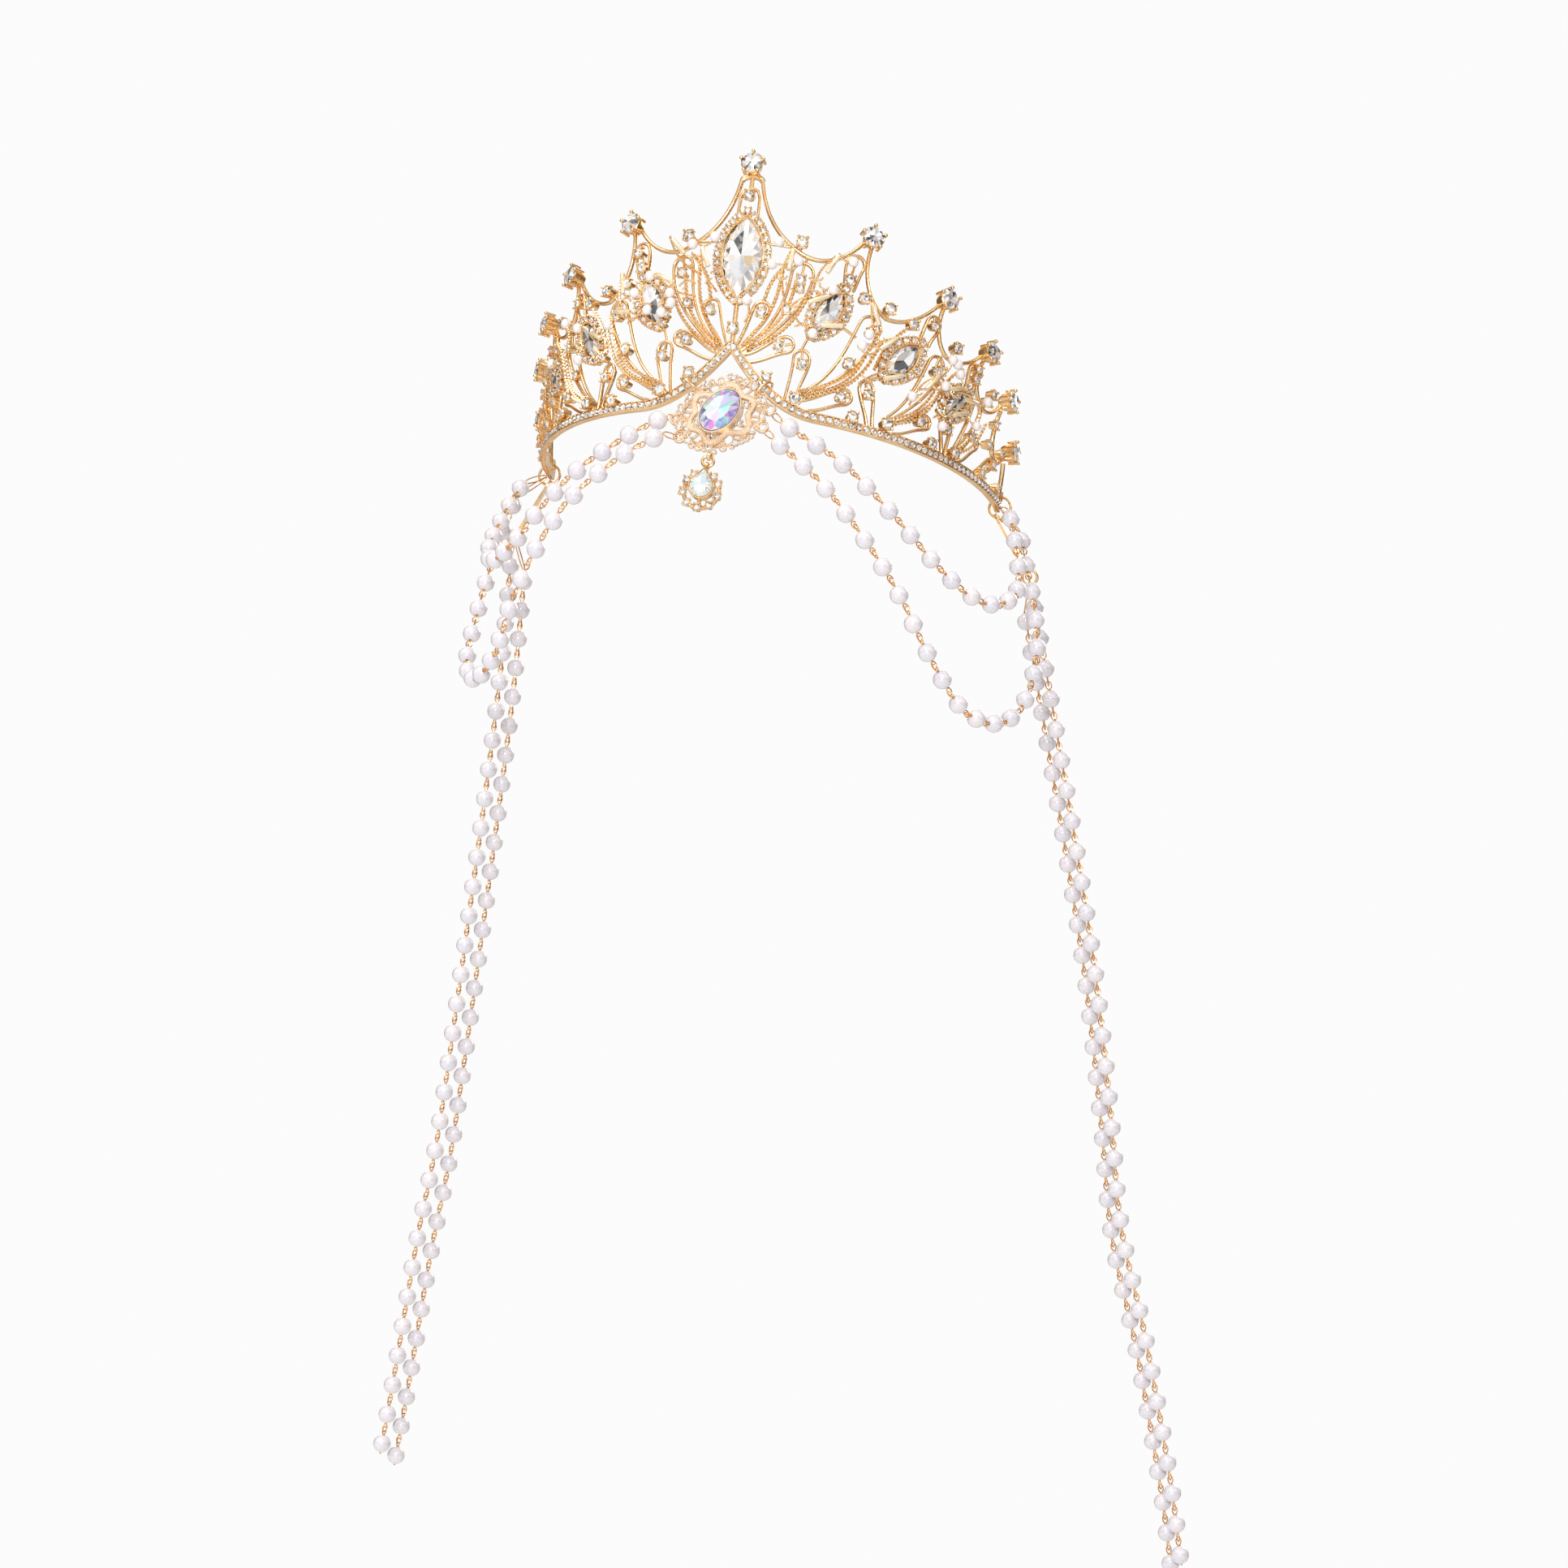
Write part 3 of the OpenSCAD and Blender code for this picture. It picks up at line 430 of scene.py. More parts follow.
# Columns: start arc, height, first bend arc, height, second bend arc, height, end arc, height
crest = np.array([
    (3.1, 75, 4.4, 66.5, 8, 58.6, 14.9, 54.3), (14.7, 54.4, 21, 49.2, 29, 50.2, 35.8, 60),
    (38.4, 59.8, 36.8, 50, 40, 41, 46.5, 37.9), (46.5, 37.9, 53, 37, 59.4, 42, 64.2, 48.6),
    (66, 48.2, 64.2, 42, 66, 35.4, 70.4, 33), (70.4, 33, 75.5, 31.8, 81, 34.4, 85.4, 39.2),
    (87, 37.6, 84.6, 32.6, 86, 25.6, 91.7, 23.6), (91.7, 23.6, 95.6, 23, 99.6, 25.4, 102.6, 29),
    (104, 27.6, 101, 21.6, 101.4, 14, 106.2, 11.4), (106.2, 11.4, 108.6, 10.8, 111.4, 12, 113.8, 15),
    (116.6, 14.4, 118.6, 11, 119.6, 7, 120.2, 1.6)])
# Columns: first foot arc, height, second foot arc, height, head arc, height, head radius, head direction in
# degrees, direction at the feet in degrees
loops = np.array([
    (3.9, 18.4, 3.2, 19.3, 18.8, 46.2, 3.4, 87, 40), (23.4, 6.8, 22.6, 7.8, 41.9, 33.6, 3.6, 72, 30),
    (52, 5, 51.2, 6, 67, 28.8, 3.1, 72, 40), (82, 5, 81.2, 6, 88.6, 21.8, 2.4, 80, 66),
    (2.8, 19.8, 1.6, 21, 7.9, 33, 2.6, 74, 66), (5.9, 15.8, 4.2, 18.2, 16.8, 22.8, 2.5, 16, 8),
    (26.6, 3, 23.4, 5.8, 37.4, 9.8, 2.4, 14, 10), (55.4, 2.6, 52.2, 5, 66.6, 9.8, 2.3, 14, 10),
    (84, 2.6, 82.2, 5, 91, 11.4, 2.1, 34, 24), (95, 2.6, 93.4, 2.6, 103.4, 9, 1.9, 40, 34),
    (22.3, 7.4, 18.6, 4.6, 22.2, 19.2, 2.6, 94, 84), (48.2, 2.4, 46.2, 2.4, 44, 14.2, 2.4, 108, 104),
    (77.8, 2.4, 76, 2.4, 75.4, 12.4, 2.3, 104, 100), (34.8, 43.6, 31.4, 43.6, 34.4, 52.4, 2.8, 68, 72),
    (62.8, 33.6, 59.1, 34, 63.2, 41.4, 2.5, 78, 82), (84.8, 25.4, 81.4, 25.6, 83.6, 33.4, 2.2, 80, 84)])
# Columns: start arc, height, end arc, height
bars = np.array([
    (17, 52.4, 17.2, 56), (46.8, 37.6, 46.9, 41), (72.4, 32.5, 73, 36.8), (92.4, 23.4, 92.6, 26.4),
    (108.2, 11.2, 108.6, 14.4), (8, 54.4, 14.4, 54.2), (23.4, 26.6, 21.6, 21.6), (33.2, 31.6, 38, 29.4),
    (43.4, 16.6, 48.4, 19.4), (58.4, 22, 63, 24.2), (69.4, 26.4, 75, 23.4), (82.2, 20, 86.4, 20),
    (90.4, 22, 91.7, 23.6), (98, 13.8, 102.4, 15.6), (98, 13.8, 92.6, 12.2), (104, 9, 105.8, 12),
    (42.4, 36.4, 44.6, 39), (67.8, 31.4, 69.4, 33.6), (19, 49, 19.6, 52)])


def bar_profile(width, depth, edge):
    """An oblong of that width and depth, with its corners cut by edge."""
    w, d = width / 2, depth / 2
    return np.array([(w, edge - d), (w, d - edge), (w - edge, d), (edge - w, d), (-w, d - edge),
        (-w, edge - d), (edge - w, -d), (w - edge, -d)])


def bend(a, b, c, d, t):
    """The cubic curve from a to d that leaves towards b and comes in from c."""
    t = t[:, None]
    return (1 - t) ** 3 * a + 3 * t * (1 - t) ** 2 * b + 3 * t * t * (1 - t) * c + t ** 3 * d


def loop_line(row):
    """A teardrop: one leg, the half circle of the head, and the other leg back."""
    head, r = row[4:6], row[6]
    d = np.array([np.cos(np.radians(row[7])), np.sin(np.radians(row[7]))])
    n = np.array([-d[1], d[0]])
    foot = np.array([np.cos(np.radians(row[8])), np.sin(np.radians(row[8]))])
    pull = 0.36 * np.linalg.norm(head - row[:2])
    t = np.linspace(0, 1, 18)[:-1]
    first = bend(row[:2], row[:2] + foot * pull, head - n * r - d * pull, head - n * r, t)
    second = bend(row[2:4], row[2:4] + foot * pull, head + n * r - d * pull, head + n * r, t)
    q = np.linspace(-np.pi / 2, np.pi / 2, 14)[:, None]
    return np.concatenate([first, head + r * (d * np.cos(q) + n * np.sin(q)), second[::-1]])


crest[:, ::2] *= spread
loops[:, [0, 2, 4]] *= spread
bars[:, ::2] *= spread


def on_wall(line, profile, side=1, closed=False):
    """A bar whose middle runs along a flat line of arcs and heights, or along its mirror image."""
    path = wall(side * line[:, 0], line[:, 1])
    return carried(path, away(path), profile, closed)


crest_bar = bar_profile(1.25, 1.5, 0.4)
loop_bar = bar_profile(0.95, 1.5, 0.3)
stem_bar = bar_profile(0.8, 1.0, 0.25)
crest_steps = np.linspace(0, 1, 22)
wires = []
for side in (1, -1):
    wires += [on_wall(bend(*row.reshape(4, 2), crest_steps), crest_bar, side) for row in crest]
    wires += [on_wall(loop_line(row), loop_bar, side) for row in loops]
    wires += [on_wall(np.linspace(row[:2], row[2:], 5), stem_bar, side) for row in bars]
# In the middle: a post under the great stone and one under the top spire, a web between the two highest crest
# wires, and an arch below it
post = bar_profile(1.4, 1.5, 0.35)
wires += [on_wall(np.linspace((0, 20), (0, 34.8), 6), post), on_wall(np.linspace((0, 68), (0, 78), 6), post)]
q = np.radians(np.linspace(0, 180, 9))
web = np.column_stack([3.2 * np.cos(q), 74.4 + 1.6 * np.sin(q)])
wires.append(on_wall(web, bar_profile(1.8, 1.5, 0.4)))
arch = np.array([(-3.2, 62), (-3.1, 66), (-3, 69), (-2.1, 71.3), (0, 72.2), (2.1, 71.3), (3, 69), (3.1, 66),
    (3.2, 62)])
wires.append(on_wall(arch, loop_bar))
piece("openwork", joined(wires), gilt, smooth=60)


# Marquise settings
# Seven pointed oval stones of foiled glass. Each lies in a thin bezel and is framed by a rim of small round
# stones in cups of their own, whose claws make the rim's edge knobbly.
# Columns: arc, height, length, width, lean outwards in degrees, stones round it
marquises = np.array([(0, 49.2, 27, 13, 0, 25), (28.2, 34.7, 16.5, 7.6, 27, 15),
    (54.1, 26.1, 16.5, 7.8, 38, 15), (77.4, 19.8, 13.5, 6.6, 45, 13)])
marquises[:, 0] *= spread


def marquise(length, width, n):
    """Two arcs of n steps each that meet in points at the top and the bottom."""
    r = (length ** 2 + width ** 2) / (4 * width)
    q = np.arcsin(length / 2 / r) * np.linspace(-1, 1, n + 1)[:-1]
    arc = np.column_stack([r * np.cos(q) - r + width / 2, r * np.sin(q)])
    return np.concatenate([arc, -arc])


def leaned(line, row, side):
    """Turns a flat line by the row's lean and moves it to the row's place."""
    a = np.radians(row[4])
    x = row[0] + line[:, 0] * np.cos(a) + line[:, 1] * np.sin(a)
    return np.column_stack([side * x, row[1] - line[:, 0] * np.sin(a) + line[:, 1] * np.cos(a)])


def wall_axes(arc, lift=-wall_lean):
    """Rows of axes at an arc: to the right along the wall, up, and out with a lift in degrees above level."""
    turn, lift = np.atleast_1d(arc) / band_radius, np.radians(lift)
    s, c = np.sin(turn), np.cos(turn)
    side = np.stack([c, s, 0 * s], -1)
    out = np.stack([s * np.cos(lift), -c * np.cos(lift), np.sin(lift) + 0 * s], -1)
    return np.stack([side, np.cross(out, side), out], 1)


def turned(axes, angle):
    """Axes turned about their outward row by an angle in degrees."""
    c, s = np.cos(np.radians(angle)), np.sin(np.radians(angle))
    return np.array([[c, s, 0], [-s, c, 0], [0, 0, 1]]) @ axes


stone_cup = turned_round([(0.9, -0.9), (1.15, 0.5), (1.2, 0.95), (1.0, 0.95), (0.9, 0.3)], 10)
quarter = np.radians(45 + 90 * np.arange(4))


def set_stones(places, axes, sizes):
    """Round stones of given radii in cups with four claws each: the metal and the stones."""
    sizes = np.broadcast_to(sizes, len(places))
    cups = stone_cup.repeated(places, axes, sizes)
    claws = [claw.repeated(places + (sizes[:, None] + 0.2) * (np.cos(q) * axes[:, 0] + np.sin(q) * axes[:, 1])
        + 1.0 * sizes[:, None] * axes[:, 2], axes, 0.8 * sizes ** 0.5) for q in quarter]
    stones = small_stone.repeated(places + 0.85 * sizes[:, None] * axes[:, 2], axes, sizes)
    return joined([cups, *claws]), stones


def closed_path(line):
    """A line with its first point again at its end."""
    return np.concatenate([line, line[:1]])


# The stops are painted reflections on the facets: dark, grey, white, and a warm glint of gold.
clear = crystal("clear foiled glass", (0.0, (0.03, 0.032, 0.036)), (0.16, (0.13, 0.13, 0.14)),
    (0.28, (0.5, 0.5, 0.51)), (0.42, (0.88, 0.9, 0.93)), (0.74, (1.0, 1.0, 1.0)), (0.9, (0.8, 0.62, 0.4)))
rim_gap, bezel_gap = 3.1, 0.4
rims, rim_stones, great_stones = [], [], []
for row in marquises[::-1]:
    for side in ((1, -1) if row[0] else (1,)):
        length, width, count = row[2], row[3], int(row[5])
        line = leaned(marquise(length + rim_gap, width + rim_gap, 24), row, side)
        bezel = leaned(marquise(length + bezel_gap, width + bezel_gap, 24), row, side)
        rims.append(on_wall(line, bar_profile(1.3, 1.2, 0.3), 1, closed=True))
        rims.append(on_wall(bezel, bar_profile(0.6, 3.4, 0.15), 1, closed=True))
        path = wall(*closed_path(line).T, 0.4)
        steps = (np.arange(count) + 0.5) * path_length(path) / count
        places, axes = riding(path, away(path), steps)
        metal, stones = set_stones(places, axes, 1.15 if row[0] else 1.05)
        rims.append(metal)
        rim_stones.append(stones)
        axes = turned(wall_axes(side * row[0]), -side * row[4])
        great_stones.append(brilliant(marquise(length, width, 8), 0.6, width / 5, width / 5).repeated(
            wall(side * row[0], row[1], 0.5), axes))
piece("marquise_rims", joined(rims), gilt)
piece("marquise_rim_stones", joined(rim_stones), bright, smooth=0, reflection_seed=5)
piece("marquise_side_stones", joined(great_stones[:-1]), clear, smooth=0, reflection_seed=3,
    stands_for=[f"marquise_{s}_{i}" for s in ("right", "left") for i in (1, 2, 3)])
# Its kites and table slices get painted reflections given one by one.
piece("marquise_middle_stone", great_stones[-1], clear, smooth=0, reflection_seed=14,
    shown_reflections=(*np.tile([0.6, 0.44], 8), 0.4, 0.97, 0.5, 0.75, 0.12, 0.6, 0.8, 0.62),
    stands_for=["marquise_middle"])


# Spires
# Eleven round stones stand on the points of the crest. Each is held in a deep cast cup by five claws whose
# tips are beads.
spires = np.array([(0, 78.8), (37.6, 60.9), (65.2, 49.7), (87, 40.4), (104.2, 30.8), (115.4, 17.6)])
spires[:, 0] *= spread
spire_cup = turned_round([(2.2, -0.8), (2.7, 0.2), (3.4, 2.8), (3.6, 3.6), (3.4, 3.8), (3.2, 3.4),
    (1.2, 1.8)], 20)
prong = turned_round([(0.5, -2.6), (0.55, -1.2), (0.45, 0.2), (0.62, 0.5), (0.66, 0.9), (0.5, 1.2),
    (0.2, 1.35)], 8)
fifths = np.radians(18 + 72 * np.arange(5))
prong_reach, prong_stand, spire_stand = 3.75, 3.6, 3.9
prongs = [prong.repeated([prong_reach * np.cos(q), prong_reach * np.sin(q), prong_stand], np.eye(3))
    for q in fifths]
spire_mount = joined([spire_cup, *prongs])
spire_arcs = np.concatenate([spires[:, 0], -spires[1:, 0]])
spire_heights = np.concatenate([spires[:, 1], spires[1:, 1]])
spire_places, spire_axes = wall(spire_arcs, spire_heights), wall_axes(spire_arcs, 5)
piece("spire_cups", spire_mount.repeated(spire_places, spire_axes), gilt)
spire_stone = brilliant(oval(6.8, 6.8, 16), 0.58, 1.1, 1.9)
spire_nodes = [f"spire_stone_{side}_{i}" for side in ("right", "left") for i in range(1, 6)]
piece("spire_stones", spire_stone.repeated(spire_places + spire_stand * spire_axes[:, 2], spire_axes), clear,
    smooth=0, reflection_seed=21, stands_for=["spire_stone_middle", *spire_nodes])


# Small claw settings
# Round stones of 3 to 4 mm in cups with bead-tipped claws. Some are soldered on the wires and in the valleys
# between the spires, and some sit inside the loops, on a pin from the loop.
# Columns: arc, height, stone diameter
on_wires = np.array([(17.35, 55.9, 3.6), (46.9, 41, 3.6), (73, 36.8, 3.4), (92.6, 26.4, 3.2),
    (108.6, 14.4, 3), (12.3, 11.2, 3.4), (40.6, 3.9, 3.4), (70, 3.9, 3.4), (97.4, 3.8, 3.2), (111.2, 3.7, 3),
    (21.8, 5.8, 3.8), (52.4, 4.8, 3.8), (80.6, 4.3, 3.6), (98, 13.8, 3), (38.3, 42, 3.4), (84, 30.6, 3),
    (100.2, 21.4, 2.8), (55.4, 38.5, 3.4), (15.5, 33.8, 3), (36.7, 20.3, 3.4), (87.4, 12.4, 3), (104, 9, 3)])
# Columns: arc, height, stone diameter, arc and height of the pin's far end
on_pins = np.array([(18.4, 43.8, 3.2, 18.9, 49.4), (41.8, 31.8, 3, 43, 37.2), (66.6, 26.6, 3, 67.8, 31.6),
    (22.4, 17, 3.2, 22.1, 21.7), (44.6, 12.2, 3.2, 43.4, 16.6), (75.7, 10.4, 3, 75, 14.6),
    (14.6, 22, 3.2, 19.2, 23.5), (35.8, 9.2, 3.2, 39.7, 10.4), (64.2, 9.2, 3.2, 68.8, 10.4),
    (33, 46.6, 3.4, 34.8, 55), (63, 40.6, 3, 63.4, 43.8), (8, 31.8, 3.2, 8.6, 35.4)])
on_wires[:, 0] *= spread
on_pins[:, [0, 3]] *= spread
# Columns: arc, height, stone diameter. These stand on one side only, or on the middle line.
single = np.array([(0, 69.4, 3.2), (0, 26, 3.4), (70.6, 27.6, 3), (97.5, 29.5, 3), (86.9, 33.9, 3),
    (-36, 51.9, 3.4), (-47.9, 19, 2.8), (-62.4, 15.9, 3), (-80.6, 12.1, 3), (-69.3, 4.9, 3), (-80, 28.6, 3),
    (23.4, 39.6, 2.8), (19.2, 41, 2.6)])
mirror = [-1, 1, 1]
round_stones = np.concatenate([on_wires, on_pins[:, :3], on_wires * mirror, on_pins[:, :3] * mirror, single])
places, axes = wall(round_stones[:, 0], round_stones[:, 1]), wall_axes(round_stones[:, 0])
metal, stones = set_stones(places + 0.3 * axes[:, 2], axes, round_stones[:, 2] / 2)
pins = [on_wall(np.linspace(row[:2], row[3:], 4), bar_profile(0.8, 0.8, 0.2), side) for row in on_pins
    for side in (1, -1)]
piece("claw_settings", joined([metal, *pins]), gilt)
piece("claw_stones", stones, bright, smooth=0, reflection_seed=8)


# Sprays
# Bugle tubes of gold-lined glass and milky round beads stand before the openwork, on stems of two fine wires
# twisted together. A stem runs through each bugle, and the stem of each milky bead goes to the nearest bugle
# or, where none is near, into the openwork.
# Columns: arc, height of each end
bugles = np.array([(-24, 55.5, -18, 49), (-13, 52, -10, 45), (-41.5, 45.5, -40.5, 38.5),
    (-43.5, 33, -36.5, 32), (15.5, 53, 15, 46), (-27.5, 43.5, -21, 40), (26.5, 47, 29.5, 53.5),
    (42, 40.5, 45.5, 34.5), (47, 27, 52, 32), (27, 30, 34, 31.2), (49.5, 18, 56.5, 21),
    (65.5, 19.5, 69.5, 25.3), (74, 22.5, 80.5, 25), (82, 22, 89, 23), (78.5, 15.5, 85, 18.5),
    (22, 36.5, 28.5, 40), (-86.5, 28, -81, 23.5), (-55, 28, -48.5, 25), (-98, 24, -91, 22)])
# Thick stems, alike on both sides. Columns: arc, height of each end, bow to the side as a share of the length
stems = np.array([(3.6, 20.6, 13.2, 46, -0.1), (5, 19.4, 22.4, 40, -0.12), (23.4, 8.4, 46, 33, -0.16),
    (24.6, 7.6, 44, 27.4, -0.17), (54, 6.2, 70.6, 24, -0.14), (55, 5.4, 71, 19.6, -0.16),
    (84, 5.4, 92.4, 21, -0.1), (23.2, 33.4, 33, 45.4, 0.1), (56, 4.8, 75, 27.6, -0.1),
    (85.4, 5, 96.6, 19.6, -0.12),
    (25.8, 6.8, 47.4, 29.6, -0.15), (4.4, 20.8, 17.8, 44, -0.14), (46.6, 20.4, 55.6, 36.8, 0.08),
    (70.4, 17.6, 79.6, 31.4, 0.08), (8.6, 35.6, 16.4, 50, 0.1)])
# Columns: arc, height
opals = np.array([(10.9, 54.7), (9.8, 47.3), (17.6, 49.3), (3.5, 34.9), (29.3, 42.1), (25, 27), (34.1, 52.3),
    (42.7, 30.7), (41, 26.6), (60.9, 15.6), (76.2, 31.6), (73.8, 32.1), (72.7, 23), (93.8, 25.5), (78, 28.9),
    (90.3, 16.1), (74.7, 10.3), (-16.2, 52.7), (-9.1, 55.1), (-30.2, 43.1), (-35.7, 38.1), (-22.2, 36.9),
    (-21.5, 33.7), (-30, 31.9), (-24.6, 30.7), (-62.4, 31.3), (-71.2, 35.2), (-46.1, 29.1), (-60.3, 20.2),
    (-82.5, 24.8)])


bead_stand = 2.2  # how far the beads stand before the wall


def twisted(start, end, bow, outs=(bead_stand, bead_stand), thick=0.22):
    """Two wires wound round a line that bows to its side by a sine, one turn in nine times their thickness.
    Outs are the distances before the wall at its ends."""
    n = max(8, int(np.linalg.norm(end - start) * 3.4))
    t = np.linspace(0, 1, n)[:, None]
    across = np.array([start[1] - end[1], end[0] - start[0]])
    line = start + t * (end - start) + bow * np.sin(np.pi * t) * across
    path = wall(line[:, 0], line[:, 1], np.linspace(*outs, n))
    _, axes = riding(path, away(path), np.linspace(0, path_length(path), n))
    q = 2 * np.pi * t * path_length(path) / (9 * thick)
    winding = 1.1 * thick * (np.cos(q) * axes[:, 1] + np.sin(q) * axes[:, 2])
    fine = thick * np.array([(1, 0), (0, 1), (-1, 0), (0, -1)])
    return [carried(path + hand * winding, away(path), fine) for hand in (1, -1)]


bugle = turned_round([(0.35, -3.3), (0.7, -3.5), (0.8, -3.3), (0.8, 3.3), (0.7, 3.5), (0.35, 3.3)], 12)
belts = np.radians([-55, -30, 0, 30, 55])
opal = turned_round([(0.5, -1.6), *zip(1.7 * np.cos(belts), 1.7 * np.sin(belts)), (0.5, 1.6)], 14)
starts, ends = bugles[:, :2], bugles[:, 2:]
middles = (starts + ends) / 2
bugle_places = wall(*middles.T, bead_stand)
along = unit(wall(*ends.T) - wall(*starts.T))
side_way = unit(np.cross(away(bugle_places), along))
bugle_axes = np.stack([side_way, np.cross(along, side_way), along], 1)
opal_places = wall(*opals.T, bead_stand)
opal_axes = wall_axes(opals[:, 0])[:, [0, 2, 1]] * [[[1], [-1], [1]]]
sprigs = []
for start, end in zip(starts, ends):
    low, high = (end, start) if end[1] < start[1] else (start, end)
    down, outer = unit(low - high), np.sign(low[0])
    sprigs += twisted(high - down * 0.5, low + down * 8, -0.12, (bead_stand, 0.9))
    sprigs += twisted(low + down * 2, low + down * 5 + [-outer * 3, 2], 0.25)
    sprigs += twisted(low + down * 4, low + down * 7 + [outer * 3, 1], -0.25)
for side in (1, -1):
    for row in stems:
        sprigs += twisted(row[:2] * [side, 1], row[2:4] * [side, 1], row[4] * side, (0.9, 1.4), 0.32)
bugle_ends = np.concatenate([starts, ends])
for place in opals:
    gaps = np.linalg.norm(bugle_ends - place, axis=1)
    near = bugle_ends[np.argmin(gaps)] if gaps.min() < 12 else place * [0.97, 0.8]
    sprigs += twisted(place, near, 0.15, (bead_stand, 1.6))


def glass_bead(name, body, warm_tone_and_sheen, rough, share):
    """Glass bead: its body, a warmer colour that drifts in clouds and shows towards its edge as a painted
    sheen, and fine cloudy threads in the glass.
    """
    paint, nodes = finish(name)
    place = nodes.add("ShaderNodeTexCoord", out=3)
    edge = nodes.add("ShaderNodeLayerWeight", {}, {"Blend": 0.35}, out=1)
    threads = nodes.add("ShaderNodeTexNoise", {}, {"Vector": place, "Scale": 700.0, "Detail": 2.0})
    drift = nodes.add("ShaderNodeTexNoise", {}, {"Vector": place, "Scale": 110.0})
    tone = nodes.ramp(drift * 0.6 + threads * 0.4, (0.38, body), (0.62, warm_tone_and_sheen))
    # Towards its edge, by how it faces the view, the bead takes the warmer colour: a painted sheen.
    skin = nodes.add("ShaderNodeBsdfPrincipled", {}, {
        "Base Color": nodes.mixed(edge * share, tone, warm_tone_and_sheen), "Metallic": share,
        "Roughness": threads * 0.2 + rough, "Coat Weight": 1.0, "Coat Roughness": 0.05})
    nodes.add("ShaderNodeOutputMaterial", {}, {0: skin})
    return paint


tube_glass = glass_bead("gold lined glass", (1.0, 0.93, 0.76), (0.94, 0.74, 0.42), 0.06, 0.3)
milk_glass = glass_bead("milky glass", (0.96, 0.94, 0.95), (0.97, 0.9, 0.89), 0.15, 0.05)
piece("bugles", bugle.repeated(bugle_places, bugle_axes), tube_glass)
piece("milky_beads", opal.repeated(opal_places, opal_axes), milk_glass, smooth=60)
pale_gilt = gilding("pale gilt", (1.0, 0.78, 0.49), (0.95, 0.65, 0.34), 0.15, 1400.0)
piece("twisted_stems", joined(sprigs), pale_gilt, smooth=80)


# Brooch
# A pierced and gilt plate of curls, alike when turned half round, with six raised petals of milgrain band and
# twelve small stones at its edge. An oval stone with a rainbow coating sits in its high cup.
plate_turn, stone_turn = 33, -25.5  # of their long axes from the level, in degrees


def tilted(degrees):
    """Rows of axes of a plane that faces forwards, turned about the line of sight: right, up, forwards."""
    c, s = np.cos(np.radians(degrees)), np.sin(np.radians(degrees))
    return np.array([(c, 0, s), (-s, 0, c), (0, -1, 0)])


forwards = np.array([0, -1.0, 0])


class Hanging:
    """An upright plane before the band. Flat lines (right, up) and a distance forwards become places there:
    the middle plus each number along its row of the axes."""

    def __init__(self, middle, degrees):
        self.middle = np.array(middle)
        self.axes = tilted(degrees)

    def at(self, line, out=0.0):
        line = np.reshape(line, (-1, 2))
        return np.column_stack([line, np.broadcast_to(out, len(line))]) @ self.axes + self.middle

    def bar(self, line, profile, out, closed=True):
        """A bar whose middle runs along a flat line."""
        path = self.at(line, out)
        return carried(path, forwards + 0 * path, profile, closed)

    def beads(self, line, pitch, size, out):
        """Small balls at even steps along a closed line."""
        path = closed_path(self.at(line, out))
        steps = np.arange(round(path_length(path) / pitch)) * pitch
        where, _ = riding(path, forwards + 0 * path, steps)
        return grain.repeated(where, np.eye(3), size)

    def set(self, line, out, size):
        """Stones in claw cups: the metal and the stones."""
        places = self.at(line, out)
        return set_stones(places, np.broadcast_to(self.axes, (len(places), 3, 3)), size)

    def eye(self, x, y):
        """A small upright ring whose hole runs from side to side."""
        q = 2 * np.pi * np.arange(16) / 16
        path = self.at(np.column_stack([x + 0 * q, y + 1.15 * np.sin(q)]), 0.8 + 1.15 * np.cos(q))
        return carried(path, self.axes[0] + 0 * path, bar_profile(0.8, 1.2, 0.2), closed=True)


def ring_line(x, y, r, n=14):
    """A circle of radius r round x and y."""
    q = 2 * np.pi * np.arange(n) / n
    return np.column_stack([x + r * np.cos(q), y + r * np.sin(q)])


def spun(line, degrees):
    """A flat line turned round its origin."""
    c, s = np.cos(np.radians(degrees)), np.sin(np.radians(degrees))
    return line @ np.array([(c, s), (-s, c)])


petal_bearings = np.radians([0, 25, 50, 90])
petal_reaches = np.array([11.4, 9.2, 10.8, 7.4])


def petal_line(inset, n=120):
    """The raised band. At the bearings from the long axis it has the reaches above, less the inset, and
    between them it goes in half waves of a cosine."""
    q = 2 * np.pi * np.arange(n) / n
    bearing = np.abs(np.arcsin(np.sin(q)))
    part = np.clip(np.searchsorted(petal_bearings, bearing, side="right") - 1, 0, 2)
    share = (bearing - petal_bearings[part]) / np.diff(petal_bearings)[part]
    reach = petal_reaches[part] + np.diff(petal_reaches)[part] * (1 - np.cos(np.pi * share)) / 2 - inset
    return spun(np.column_stack([reach * np.cos(q), reach * np.sin(q)]), plate_turn)


edge_halves = np.array([15.1, 12]) * 0.86
edge_swell = 0.2


def edge_line(n=96):
    """The wire near the plate's edge: an oval with those half axes, which swells and shrinks twelve times."""
    q = 2 * np.pi * np.arange(n) / n
    reach = edge_halves + edge_swell * np.cos(12 * q)[:, None]
    return spun(reach * np.column_stack([np.cos(q), np.sin(q)]), plate_turn)


def scroll(x, y, r, start, sweep):
    """A wire that curls in: its distance from the curl's middle shrinks from r to 0.35 r over the sweep."""
    t = np.linspace(0, 1, 16)
    q = np.radians(start + sweep * t)
    return np.column_stack([x + r * (1 - 0.65 * t) * np.cos(q), y + r * (1 - 0.65 * t) * np.sin(q)])


